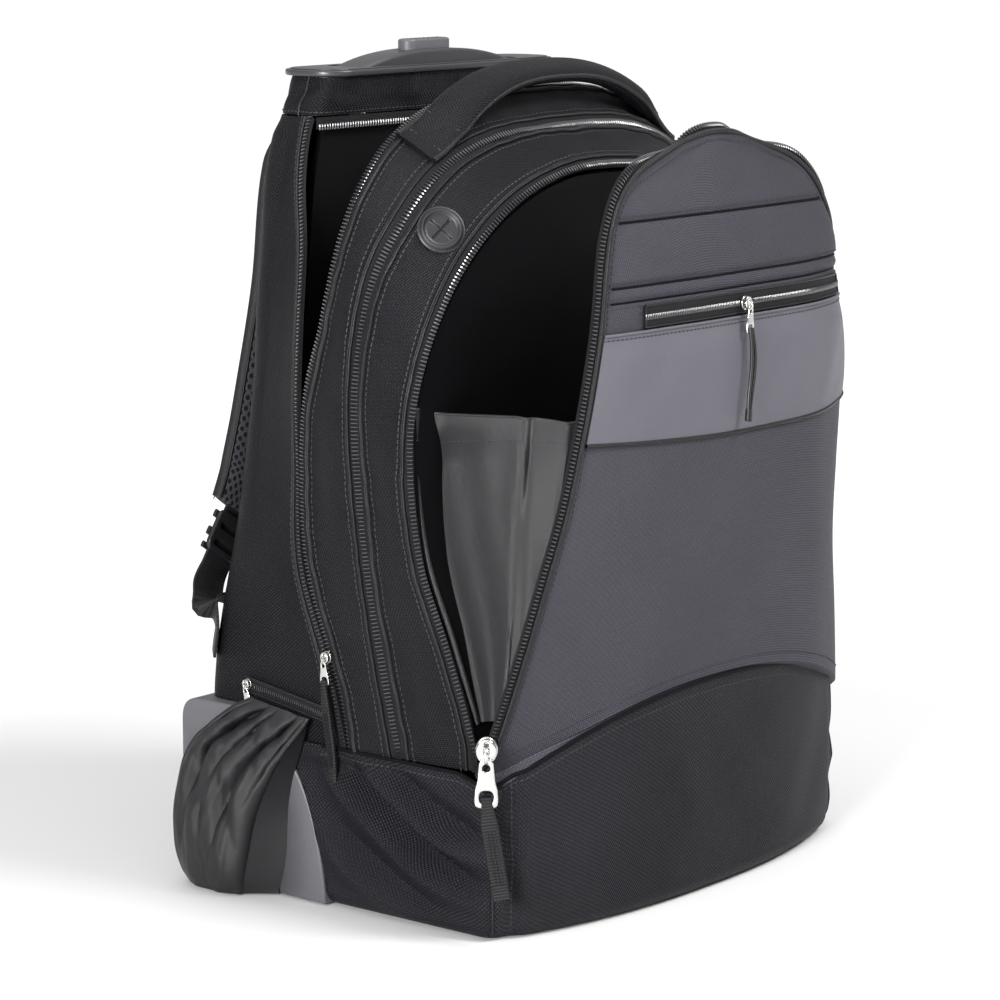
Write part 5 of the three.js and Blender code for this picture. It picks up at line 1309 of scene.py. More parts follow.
def phone_pocket():
    """A smooth band across the flap, with a curved seam below it and a zip in a framed window above it."""
    rows, columns = 28, 110
    t = np.linspace(0, 1, rows)[:, None]
    across = np.linspace(0, 1, columns)[None]
    u = mix(0.008, 0.93, across)
    p, n = FLAP.at(mix(BAND_LOW, BAND_HIGH, t), u)
    lift = np.sin(np.pi / 2 * t) * (1 - np.abs(2 * across - 1) ** 5) * (1 - smooth(0.75, 1, t) * 0.6)
    drop = 8 * np.sin(np.pi * across) * (1 - t)
    grid = p + n * (1.3 + 4.5 * lift)[..., None] - (drop * (1 + 0 * t))[..., None] * (0, 0, 1)
    cloth = Cloth(grid, -1)
    waves = rumple(grid, 60, 0.9, 61)
    cloth = cloth.pressed(waves * np.sin(np.pi * across) ** 0.5 * np.sin(np.pi * t) ** 0.5)
    made = sheet("phone_pocket_satin", cloth.grid, cloth.normals, 1.2, SATIN, "satin", replaces="phone_band")
    flat_size(cloth)
    share = np.linspace(0, 1, columns)
    pieces("phone_pocket_seam", [cord(*cloth.lifted(0.0, share, -0.3), 1.3)], PIPING, "satin")
    pieces("phone_pocket_edge", [cord(*cloth.lifted(1.0, share, 0.1), 0.9)], SATIN, "satin")
    lines = [cloth.lifted(0.955, share, 0.1)]
    low = BAND_HIGH + 0.006
    high = BAND_HIGH + 0.042
    u = mix(0.13, 0.9, share)
    p, n = FLAP.lifted(np.linspace(low, high, 9)[:, None], u[None], 1.5)
    sheet("phone_zip_tape", p, n, 1.3, TAPE_CLOTH, "zip", replaces="phone_zip")
    teeth = [beads_form(*FLAP.lifted(BAND_HIGH + 0.024, u, 2.0), 1.6, bead(3.6, 0.9, 1.2))]
    pieces("phone_zip_teeth", teeth, COIL, "zip")
    side = np.linspace(low, high, 9)
    frame_lines = [FLAP.lifted(at, u, 1.5) for at in (low, high)]
    frame_lines += [FLAP.lifted(side, u[end], 1.5) for end in (0, -1)]
    pieces("phone_zip_frame", [cord(*line, 0.8) for line in frame_lines], PIPING, "zip")
    lines.append(FLAP.lifted(side, u[0] - 0.012, 0.2))
    stitched("phone_pocket_stitches", lines, "satin")


WEB_LOW = 0.07
WEB_HIGH = 0.53


def pocket_web():
    """Lining that spans the lower part of the opening, from the bag to the flap, in deep vertical folds."""
    rows, columns = 64, 76
    grid = []
    s = np.linspace(0, 1, columns)
    ends = smooth(0, 0.12, s) * smooth(1, 0.9, s)
    for t in np.linspace(WEB_LOW, WEB_HIGH, rows):
        flap, _ = FLAP.at(t, 0.035)
        rise = t / WEB_HIGH
        z = mix(BASE_HEIGHT + 24, flap[2] + 6, rise)
        body = np.array([-FRONT_ARCH["half"] * HALF + 5, float(arch_depth(FRONT_ARCH, z)) + 5 * rise, z])
        end = flap + (4, FLAP_WALL + 1.6, 0)
        hollow = 40 * rise**0.8 * np.exp(-(((s - 0.28) / 0.2) ** 2))
        ridge = 10 * (0.3 + 0.7 * rise) * np.exp(-(np.abs(s - 0.76 - 0.04 * rise) / 0.06) ** 1.4)
        second = 8 * rise * np.exp(-(np.abs(s - 0.6 + 0.1 * (1 - rise)) / 0.045) ** 1.4)
        fine = 0.8 * np.sin(17 * np.pi * s + 4 * rise) * (1 - 0.4 * rise)
        back = (hollow - ridge - second + fine) * ends * (1 - 0.45 * smooth(0.9, 1, rise))
        grid.append(mix(body, end, s[:, None]) + np.stack([0.25 * back, back, -0.15 * np.abs(back)], -1))
    cloth = Cloth(np.array(grid))
    made = sheet("pocket_web_lining", cloth.grid, cloth.normals, 0.9, LINING, "lining", replaces="pocket_web")
    flat_size(cloth)
    pieces("pocket_web_hem", [cord(*cloth.at(1.0, s), 1.1)], LINING, "lining")
    lines = [cloth.lifted(0.94, s, 0.1), cloth.lifted(0.94, s, -1.0)]
    stitched("pocket_web_stitches", lines, "lining")


# Zip sliders and pulls: X runs across a slider, Y up its zip and Z out of the cloth
def slider_pieces(name, size, at, out, up, pull=None, cords=False, lean=0.5):
    """A slider with its bridge and puller, in shares of its size, and the pull if it has one."""
    turn = frame_at(out, up)
    at = np.asarray(at, float)

    def plate(part, outlines, depth, bevel, height, **more):
        outline_piece(name + part, outlines, depth * size, CHROME, "chrome", bevel=bevel * size, turn=turn,
                      at=at + turn[2] * height * size, sharp=1.0, **more)

    oval = circle(1, 36) * (0.4 * size, 0.48 * size)
    slot = rounded(0.14 * size, 0.4 * size, 0.06 * size) + (0, 0.12 * size)
    plate("_slider_base", [oval], 0.2, 0.05, 0, replaces=name + "_slider")
    plate("_slider_top", [oval * 0.94, slot], 0.18, 0.06, 0.32, rounds=3)
    run = np.linspace(-1, 1, 15)
    height = size * (0.44 + 0.28 * (1 - run**4))
    bridge = np.stack([0 * run, 0.3 * size * run - 0.14 * size, height], -1) @ turn + at
    loop = sweep_form(bridge, np.tile(turn[2], (15, 1)), rounded(0.16 * size, 0.1 * size, 0.04 * size))
    pieces(name + "_slider_bridge", [loop], CHROME, "chrome", sharp=1.0)
    plate("_puller", puller_outlines(size), 0.12, 0.045, 0.54, rounds=3)
    if pull:
        (cord_loop if cords else pull_strap)(name, size, turn, at, *pull, lean)


def puller_outlines(size):
    """A puller plate: narrow at the slider, wide at its foot, with an eye above and an opening below."""
    half = [(0.16, -0.22), (0.25, -0.32), (0.28, -0.62), (0.31, -1.0), (0.4, -1.35), (0.43, -1.75)]
    half += [(0.4, -1.95), (0.26, -2.02)]
    ring = np.array([*half, *[(-x, y) for x, y in reversed(half)]]) * size
    ring = smooth_ring(even_line(np.concatenate([ring, ring[:1]]), 120)[:-1], 3)
    eye = rounded(0.28 * size, 0.26 * size, 0.12 * size) + (0, -0.56 * size)
    opening = rounded(0.5 * size, 0.46 * size, 0.18 * size) + (0, -1.62 * size)
    return [ring, opening, eye]


def pull_route(size, turn, at, length, bow, lean):
    """The middle line of a pull, from the puller's opening down: it bows and leans to its end."""
    run = np.linspace(0, 1, 50)
    low = -1.62 * size
    fall = run * (length + 1.28 * size - 0.3)
    aside = bow * np.sin(np.pi * run) + lean * run**1.3
    line = np.stack([aside, low - fall, 0.6 * size + 0.8 + 0.7 * np.sin(2 * np.pi * run)], -1)
    return run, line, line @ turn + at


def pull_strap(name, size, turn, at, width, length, lean):
    """A ribbed strap that is folded through the puller's opening."""
    run, line, route = pull_route(size, turn, at, length, 0.5, lean)
    ways = np.tile(turn[2], (len(run), 1))
    full = mix(0.62, 1, smooth(0.02, 0.3, run))
    taper = np.stack([full, np.ones(len(run))], -1)
    forms = [sweep_form(route, ways, rounded(1.25 * width, 2.6, 1.0, 3), taper)]
    ribs = slice(16, 42)
    for side in (-0.26, 0.0, 0.26):
        edge = (line + (side * width, 0, 1.3)) @ turn + at
        forms.append(sweep_form(edge[ribs], ways[ribs], circle(0.55, 6)))
    for end in (slice(13, 16), slice(42, 45)):
        forms.append(sweep_form(route[end] + turn[2] * 0.9, ways[end], rounded(1.0 * width, 1.4, 0.4, 3)))
    pieces(name + "_pull_strap", forms, WEBBING, "webbing", replaces=name + "_pull")


def cord_loop(name, size, turn, at, width, length, lean):
    """Two cords side by side that meet in a small end piece."""
    run, line, route = pull_route(size, turn, at, length, 3.2, lean)
    ways = np.tile(turn[2], (len(run), 1))
    forms = []
    for side in (-1, 1):
        apart = side * mix(0.9, 0.24 * width, np.sin(np.pi * np.clip(run * 1.1, 0, 1)) ** 0.8)
        cord = (line + np.stack([apart, 0 * run, 0 * run], -1)) @ turn + at
        forms.append(sweep_form(cord, ways, circle(1.15, 10)))
    end = slice(-7, None)
    forms.append(sweep_form(route[end], ways[end], rounded(4.6, 3.4, 1.2, 3)))
    pieces(name + "_pull_cords", forms, NYLON, "webbing", replaces=name + "_pull")


def smooth_ring(ring, times):
    for _ in range(times):
        ring = (np.roll(ring, 1, 0) + 2 * ring + np.roll(ring, -1, 0)) / 4
    return ring


def side_point(side, y, z, out=0.0):
    """A place on the straight part of the side, at a depth and a height."""
    at = z / BACK_HEIGHT
    half = HALF * along(BACK_ROWS, "half", at)
    corner = BACK_DEPTH * along(BACK_ROWS, "back", at) - BACK_CORNER
    edge = HALF * along(BACK_ROWS, "edge", at)
    edge_y = BACK_DEPTH * along(BACK_ROWS, "edgeBack", at)
    share = (y - edge_y) / (corner - edge_y)
    return np.stack([side * (mix(edge, half, share) + out), y + 0 * z, z + 0 * y], -1)


def pocket_zip_height(y):
    return mix(126, 117, (75 - y) / 66)


def sliders():
    foot = FLAP.at(0.045, 0.0)[0]
    slider_pieces("front", 16, foot + (-7.2, 1.4, 0), (-0.8, -0.6, 0), (0, 0, 1), (8, 40), lean=9)
    at, out = FLAP.lifted(BAND_HIGH + 0.024, 0.46, 3.2)
    slider_pieces("phone", 9, at, out, (0.1, 0, 1), (8, 44), cords=True)
    for side, name in SIDES:
        z = 152
        at = (side * (LAPTOP_ARCH["half"] * HALF + 1.4), float(arch_depth(LAPTOP_ARCH, z)), z)
        slider_pieces("laptop_" + name, 8, at, (side, 0, 0), (0, 0.1, 1), (5, 52))
        y, z = (16, 118) if side > 0 else (72, 126)
        at = side_point(side, float(y), float(z), 2.5)
        slider_pieces("pocket_" + name, 7, at, (side, 0, 0), (0, 0.3, 1))
    z = 291
    at = (FRONT_ARCH["half"] * HALF + 4, float(arch_depth(FRONT_ARCH, z)) - 4, z)
    slider_pieces("front_right", 9, at, (0.8, -0.6, 0), (0, 0, 1), (8, 44))


def pocket_zips():
    for side, name in SIDES:
        y = np.linspace(75, 9, 70)
        heights = [pocket_zip_height(y) + rise for rise in np.linspace(4, -4, 7)]
        grid = np.stack([side_point(side, y, height, 2.3) for height in heights])
        cloth = Cloth(grid, -side)
        sheet("pocket_zip_tape_" + name, cloth.grid, cloth.normals, 1.5, TAPE_CLOTH, "zip",
              replaces="pocket_zip_" + name)
        share = np.linspace(0, 1, 70)
        route, out = cloth.lifted(0.5, share, 0.5)
        pieces("pocket_zip_teeth_" + name, [beads_form(route, out, 1.7, bead(4.0, 1.0, 1.3))], COIL, "zip")
        edges = [cord(*cloth.lifted(a, share, 0.1), 0.9) for a in (0.0, 1.0)]
        pieces("pocket_zip_edges_" + name, edges, PIPING, "zip")


# Grab handle
HANDLE_WIDTH = 30
HANDLE_THICK = 12.5
HANDLE_LIFT = 5.6
HANDLE_FEET = (10 / 26, 11 / 26)  # where a foot starts and ends, as the arch's parameter


def handle_route():
    """Middle line of the handle over both feet, and the way of its width at each point."""
    def on_gusset(s):
        at, _ = MAIN_BAND.lifted(share_row(s), 0.5, HANDLE_LIFT)
        a, _ = MAIN_BAND.at(share_row(s), 0.35)
        b, _ = MAIN_BAND.at(share_row(s), 0.65)
        return at, unit(a - b)

    first, first_side = on_gusset(HANDLE_FEET[0])
    start, start_side = on_gusset(HANDLE_FEET[1])
    s = np.linspace(0, 1, 61)
    rise = 1 - np.abs(2 * s - 1) ** 2.6
    height = mix(start[2], BACK_HEIGHT + 2.5, rise)
    line = np.stack([mix(start[0], -start[0], s), mix(start[1], -18, rise), height], -1)
    side = np.stack([mix(start_side[0], 0, rise) * np.sign(-line[:, 0]), 1 + 0 * s, mix(0.6, 0.25, rise)], -1)
    foot_line = np.array([mix(first, start, k) for k in np.linspace(0, 1, 12)[:-1]])
    foot_side = np.array([mix(first_side, side[0], k) for k in np.linspace(0, 1, 12)[:-1]])
    mirror = np.array([-1.0, 1, 1])
    route = np.concatenate([foot_line, line, (foot_line * mirror)[::-1]])
    return route, unit(np.concatenate([foot_side, side, (foot_side * mirror)[::-1]]))


def grab_handle():
    route, sides = handle_route()
    ahead = unit(np.gradient(route, axis=0))
    out = unit(np.cross(ahead, sides))
    out *= np.sign(out[len(out) // 2, 2])
    run = runs(route) / runs(route)[-1]
    end = np.minimum(run, 1 - run)
    full = smooth(0.02, 0.16, end)
    taper = np.stack([mix(1.0, 0.93, full), mix(0.2, 1.0, full)], -1)
    middle = route + out * (-(1 - full) * 4.2)[:, None]
    body = sweep_form(middle, out, pillow(HANDLE_WIDTH, HANDLE_THICK, 40, 2.3), taper)
    made = pieces("grab_handle_body", [body], GUSSET, "nylon", replaces="grab_handle")
    side_way = np.cross(out, ahead)
    tubes, lines = [], []
    inner = slice(6, -6)
    reach = HANDLE_WIDTH / 2 - 4.5
    for k in (-1, 1):
        edge = middle + side_way * (k * (HANDLE_WIDTH / 2 - 1.2) * taper[:, :1])
        tubes.append(cord(edge, out, 1.9, 10))
        top = middle + side_way * (k * reach) + out * (taper[:, 1:] * 4.0)
        lines.append((top[inner], out[inner]))
    pieces("grab_handle_edges", tubes, PIPING, "nylon")
    for at in (3, 9, len(route) - 10, len(route) - 4):
        across = np.linspace(-reach, reach, 12)[:, None]
        row = middle[at] + side_way[at] * across + out[at] * (taper[at, 1] * 4.9)
        lines.append((row, np.tile(out[at], (12, 1))))
    stitched("grab_handle_stitches", lines, "nylon")


# Trolley: cap, grip and button
GRIP_WIDTH = TUBE_SPREAD + 38
GRIP_DEPTH = 25
CAP_WIDTH = 224
CAP_DEPTH = 50
CAP_CORNER = 21
BUTTON_WIDTH = 42
BUTTON_DEPTH = 13
BUTTON_HEIGHT = 12


def trolley_cap():
    """The cap's plate with its raised rim, the nest that the grip sinks into, and the skirt below."""
    low = BACK_HEIGHT + 0.3
    nest_top = BACK_HEIGHT - 6.3
    nest_low = nest_top - 3
    nest = lambda grow: rectangle(GRIP_WIDTH + 2 * grow, GRIP_DEPTH + 2 * grow, 4 + grow, 0, TROLLEY_Y)
    holes = [rectangle(22.6, 13.6, 2.3, side * TUBE_SPREAD / 2, TROLLEY_Y) for side in (1, -1)]
    plate = rectangle(CAP_WIDTH, CAP_DEPTH, CAP_CORNER, 0, CAP_Y, 16)
    rim = rectangle(CAP_WIDTH - 6, CAP_DEPTH - 6, CAP_CORNER - 3, 0, CAP_Y, 16)
    parts = [
        ([plate, nest(1.0)], 3.7, low, 1.1),
        ([rim, nest(5.0)], 0.8, low + 3.6, 0.35),
        ([nest(3.5), nest(1.0)], low - nest_top + 1, nest_top, 0.1),
        ([nest(3.5), *holes], 3, nest_low, 0.1),
    ]
    edge = back_path(BACK_HEIGHT)[0][0, 0] - CLOTH - 0.6
    middle = (COLLAR_FRONT + BACK_DEPTH) / 2
    depth = BACK_DEPTH - COLLAR_FRONT - 2 * CLOTH - 1.2
    skirt = [rectangle(2 * edge - less, depth - less, 16 - less / 2, 0, middle, 10) for less in (0, 5)]
    parts.append((skirt, 9, low - 8.2, 0.3))
    for number, (outlines, thick, at, bevel) in enumerate(parts):
        outline_piece(f"trolley_cap_{number}", outlines, thick, CAP_PLASTIC, "housing_plastic", bevel=bevel,
                      at=(0, 0, at), replaces="trolley_cap" if number == 0 else ())


def trolley_grip():
    """The arched grip, and the push button with its ridges in the grip's pocket."""
    half = GRIP_WIDTH / 2
    x = np.linspace(half, -half, 80)
    crown = mix(BACK_HEIGHT + 4, BACK_HEIGHT + 13, 1 - np.abs(x / half) ** 2.4)
    outline = np.concatenate([[(-half, BACK_HEIGHT - 6), (half, BACK_HEIGHT - 6)], np.stack([x, crown], -1)])
    grip = outline_piece("trolley_grip", [outline], GRIP_DEPTH, CAP_PLASTIC, "housing_plastic", bevel=2.5,
                         turn=FACING, at=(0, TROLLEY_Y + GRIP_DEPTH / 2, 0), body="trolley_top", rounds=4,
                         replaces="grip")
    top = BACK_HEIGHT + 19
    button = lambda grow: rectangle(
        BUTTON_WIDTH + grow, BUTTON_DEPTH + grow, 6.4 + grow / 2, 0, TROLLEY_Y, 10
    )
    cut(grip, tool("button_pocket", [button(0.8)], 20, np.eye(3), (0, 0, top - BUTTON_HEIGHT - 3.3)))
    outline_piece("trolley_button", [button(0)], BUTTON_HEIGHT, PLASTIC, "housing_plastic", bevel=1.4,
                  at=(0, 0, top - BUTTON_HEIGHT), body="push_button", rounds=4, replaces="push_button")
    ridges = []
    y = np.linspace(-4, 4, 9)
    up = np.tile([0, 0, 1.0], (9, 1))
    for number in range(9):
        ridge = np.stack([0 * y - 16 + 4 * number, y + TROLLEY_Y, 0 * y + top - 0.1], -1)
        ridges.append(cord(ridge, up, 0.45, 6))
    pieces("trolley_button_ridges", ridges, PLASTIC, "housing_plastic", body="push_button")


# Back pad, straps and webbing
PAD_CORNER = 16
PAD_EDGE = 12
PAD_CHANNELS = (200, 272, 344)
WEBBING_WIDTH = 25
WEBBING_THICK = 1.8
STRAP_END = 218
RING_RADIUS = 9


def panel_depth(z):
    return BACK_DEPTH * along(BACK_ROWS, "back", np.maximum(z, BACK_FOOT) / BACK_HEIGHT)


def pad_face(z):
    return panel_depth(np.maximum(z, PAD_LOW)) + 0.6 + PAD_THICK


def back_pad():
    rows, columns = 120, 90
    z = np.linspace(PAD_LOW, PAD_HIGH, rows)
    end = np.minimum(z - PAD_LOW, PAD_HIGH - z)
    inset = PAD_CORNER * (1 - quarter_round(end / PAD_CORNER))
    s = np.linspace(-1, 1, columns)
    x = s[None] * (PAD_HALF - inset)[:, None]
    y = panel_depth(z)[:, None] + 0.6 + 0 * x
    edge = np.minimum(PAD_HALF - np.abs(x), end[:, None])
    full = quarter_round(edge / PAD_EDGE)
    channels = sum(np.exp(-(((z - at) / 3.0) ** 2)) for at in PAD_CHANNELS)[:, None]
    split = np.exp(-((x / 3.0) ** 2))
    thick = 1.5 + (PAD_THICK + 0.5 - 1.5) * full * (1 - 0.6 * np.maximum(channels, 0.8 * split))
    grid = np.stack([x, y + thick, np.broadcast_to(z[:, None], x.shape)], -1)
    points, faces, flat = sheet_form(grid, np.tile([0, 1.0, 0], (rows, columns, 1)), 1.0)
    inner = len(points) // 2
    points[inner:, 1] = y.ravel()
    made = piece("back_pad_mesh", points, faces, MESH_CLOTH, "mesh_cloth", flat=flat, replaces="back_pad")
    border = np.concatenate([grid[:, 0], grid[:, -1][::-1]]) + (0, -0.4, 0)
    binding = cord(border, np.tile([0, 1.0, 0], (len(border), 1)), 1.8)
    pieces("back_pad_binding", [binding], PIPING, "mesh_cloth")


def strap_line(count=80):
    """The middle line of the right strap and its width at each point."""
    s = np.linspace(0, 1, count)
    z = mix(BACK_HEIGHT - 34, STRAP_END, s)
    off = (0.5 + along(STRAP_ROWS, "off", s)) * STRAP_THICK
    x = HALF * along(STRAP_ROWS, "out", s)
    return np.stack([x, pad_face(np.maximum(z, 240)) + 0.3 + off, z], -1), along(STRAP_ROWS, "wide", s)


def curve_between(start, first, second, end):
    """A bent line between two ends, which it leaves towards the first and reaches from the second."""
    s = np.linspace(0, 1, 30)[1:-1, None]
    line = (1 - s) ** 3 * start + 3 * s * (1 - s) ** 2 * first + 3 * s**2 * (1 - s) * second + s**3 * end
    return s, line


def strap_webbing(end, way, side):
    """The webbing from the strap's end through the buckle and round to where it is sewn on."""
    straight = end + np.array([0.6, 5, 12, 20, 31, 39])[:, None] * way
    sewn = np.array([back_corner(z) for z in (152, 145, 138)])
    first = straight[-1] + way * 22
    second = sewn[0] + (0, 0, 22)
    s, turn = curve_between(straight[-1], first, second, sewn[0])
    line = np.concatenate([straight, turn, sewn])
    corner_side = np.array([-0.7, 0.7, 0])
    sides = np.concatenate([
        np.tile(side, (6, 1)),
        mix(side, corner_side, s),
        np.tile(corner_side, (3, 1)),
    ])
    out = unit(np.cross(sides, unit(np.gradient(line, axis=0))))
    return sweep_form(line, out, rounded(WEBBING_WIDTH, WEBBING_THICK, 0.8, 3))


def straps():
    route, wide = strap_line()
    ahead = unit(np.gradient(route, axis=0))
    side = unit(np.tile([1.0, 0, 0.12], (len(route), 1)))
    out = unit(np.cross(side, ahead))
    out *= np.sign(out[40, 1])
    s = np.linspace(0, 1, 80)
    taper = np.stack([wide, 0.75 + 0.25 * smooth(0, 0.1, s) * smooth(1, 0.92, s)], -1)
    body = sweep_form(route, out, pillow(STRAP_WIDTH, STRAP_THICK, 44, 3.2), taper)
    side_way = np.cross(out, ahead)

    def beside(k, inset):
        return route + side_way * (k * (STRAP_WIDTH / 2 - inset) * wide[:, None])

    edges = [sweep_form(beside(k, 1.2), out, rounded(3.2, 7.5, 1.5, 3)) for k in (-1, 1)]
    lines = [(beside(k, 5) + out * 5.0, out) for k in (-1, 1)]
    end = route[-1]
    way = unit(end - route[-2])
    webbing_side = unit(side[-1] - way * np.dot(side[-1], way))
    face = np.cross(way, webbing_side)
    face *= np.sign(face[1])
    belt = strap_webbing(end, way, webbing_side)
    at = end + way * 18
    for sign, name in SIDES:
        flip = np.array([sign, 1, 1])
        turned = lambda form: (form[0] * flip, form[1], form[2])
        made = pieces("shoulder_strap_" + name, [turned(body)], MESH_CLOTH, "mesh_cloth",
                      replaces="strap_" + name)
        threads = [turned(form) for form in stitches(lines)]
        pieces("shoulder_strap_binding_" + name, [turned(form) for form in edges], PIPING, "mesh_cloth")
        pieces("shoulder_strap_stitches_" + name, threads, THREAD, "mesh_cloth")
        pieces("strap_webbing_" + name, [turned(belt)], WEBBING, "webbing", replaces="webbing_" + name)
        frame_turn = np.stack([webbing_side, -way, face]) * flip
        if sign < 0:
            frame_turn[0] *= -1
        ladder_lock(name, at * flip, frame_turn)


def ladder_lock(name, at, turn):
    """A strap adjuster: a frame with two slots, three bars and a lifting lip."""
    slots = [rectangle(27, 3.4, 1.4, 0, y) for y in (-7.5, 3.5)]
    outline_piece("buckle_frame_" + name, [rectangle(36, 26, 5), *slots], 3.2, NYLON, "nylon", bevel=0.9,
                  turn=turn, at=at - turn[2] * 4.4, rounds=3, replaces="buckle_" + name)
    x = np.linspace(-16.5, 16.5, 12)
    bars = []
    for y, z, width in ((-11.5, 1.6, 4), (-2, 1.9, 5.5), (9.5, 2.2, 5)):
        line = np.stack([x, 0 * x + y, 0 * x + z], -1) @ turn + at
        bars.append(sweep_form(line, np.tile(turn[2], (12, 1)), rounded(width, 2.4, 1.0, 3)))
    pieces("buckle_bars_" + name, bars, NYLON, "nylon")


def back_corner(z):
    """The middle of the back's rear corner at a height, a little outside it."""
    half = HALF * along(BACK_ROWS, "half", z / BACK_HEIGHT) - BACK_CORNER * (1 - np.sqrt(0.5))
    back = BACK_DEPTH * along(BACK_ROWS, "back", z / BACK_HEIGHT) - BACK_CORNER * (1 - np.sqrt(0.5))
    return np.array([half + 1.2, back + 1.2, z])


def strap_ring():
    route, _ = strap_line(11)
    at = route[2] * (-1, 1, 1) + (0, STRAP_THICK / 2 + 1.9, 0)
    angle = np.linspace(0, 2 * np.pi, 60)
    ring = at + np.stack([RING_RADIUS * np.cos(angle), 0 * angle, RING_RADIUS * np.sin(angle)], -1)
    wire = cord(ring, np.tile([0, 1.0, 0], (60, 1)), 1.5, 12)
    pieces("strap_ring_wire", [wire], CHROME, "chrome", replaces="strap_ring")
    y = np.linspace(-1, 1, 9)
    tab = np.stack([0 * y + at[0], at[1] + 0.6 - 1.2 * y**2, at[2] + RING_RADIUS + 11 * y], -1)
    strip_form = sweep_form(tab, np.tile([0, 1.0, 0], (9, 1)), rounded(12, 1.6, 0.7, 3))
    pieces("strap_ring_tab", [strip_form], WEBBING, "webbing")


# Wheels and their housings
TYRE_GROOVES = (-3.5, 0, 3.5)
TYRE_SHOULDER = 4.5
TYRE_WALL = 8
SPOKES = 6


def lathe_form(profile):
    """A closed profile of radius and X, turned round the X axis."""
    count = 72
    profile = np.asarray(profile, float)
    angle = np.linspace(0, 2 * np.pi, count, endpoint=False)[:, None]
    radius, x = profile.T
    grid = np.stack([np.broadcast_to(x, (count, len(x))), radius * np.cos(angle), radius * np.sin(angle)], -1)
    index = np.arange(count * len(x)).reshape(count, len(x))
    ahead = np.roll(index, -1, 0)
    side = np.roll(index, -1, 1)
    corner = np.roll(ahead, -1, 1)
    faces = np.stack([index, ahead, corner, side], -1).reshape(-1, 4).tolist()
    flat = np.stack(np.broadcast_arrays(x[None] + radius[None], 36 * angle), -1).reshape(-1, 2)
    return grid.reshape(-1, 3), faces, flat


def wheels():
    w = WHEEL_WIDTH / 2
    tread = []
    bend = TYRE_SHOULDER
    for x in np.linspace(-w + bend, w - bend, 45):
        groove = min(abs(x - k) for k in TYRE_GROOVES)
        tread.append((WHEEL_RADIUS - 0.9 * np.exp(-((groove / 0.7) ** 2)), x))
    shoulder = [
        (WHEEL_RADIUS - bend + bend * np.sin(a), w - bend + bend * np.cos(a)) for a in np.linspace(0, 1.5, 9)
    ]
    inner = WHEEL_RADIUS - TYRE_WALL
    profile = [(inner, -w), *[(r, -x) for r, x in shoulder], *tread, *reversed(shoulder), (inner, w)]
    rim = inner - 0.3
    half = [(4.3, w - 1), (9, w - 2), (10.5, w - 3.4), (22, w - 3.4), (24, w - 1.6), (rim, w - 1)]
    hub = [(radius, -x) for radius, x in half] + half[::-1]
    for side, name in SIDES:
        at = np.array([side * WHEEL_X, WHEEL_Y, WHEEL_RADIUS])
        points, faces, flat = lathe_form(profile)
        rubber = (points + at, faces, flat)
        pieces("tyre_rubber_" + name, [rubber], TYRE, "tyre", body="wheel_" + name, replaces="tyre_" + name)
        points, faces, flat = lathe_form(hub)
        forms = [(points + at, faces, flat)]
        for number in range(SPOKES):
            angle = number * 2 * np.pi / SPOKES
            r = np.linspace(9, 23.5, 6)[:, None]
            way = np.array([0, np.cos(angle), np.sin(angle)])
            for face in (-1, 1):
                rib = at + r * way + (face * (w - 3.2), 0, 0)
                out = np.tile([face * 1.0, 0, 0], (6, 1))
                forms.append(sweep_form(rib, out, rounded(2.6, 2.6, 0.8, 3)))
        pieces("hub_plastic_" + name, forms, PLASTIC, "housing_plastic", body="wheel_" + name,
               replaces="hub_" + name)


def housings():
    width = HOUSING_SIDE - HOUSING_INSIDE
    for side, name in SIDES:
        turn = sideways(side)
        body = outline_piece("housing_" + name, [housing_outline(1.5)], width, PLASTIC, "housing_plastic",
                             bevel=1.4, turn=turn, at=side_place(side, HOUSING_INSIDE), rounds=4,
                             replaces="wheel_housing_" + name)
        well = side_place(side, HOUSING_INSIDE + 2.5)
        cut(body, tool("well", [well_outline(WELL_RADIUS)], 100, turn, well))


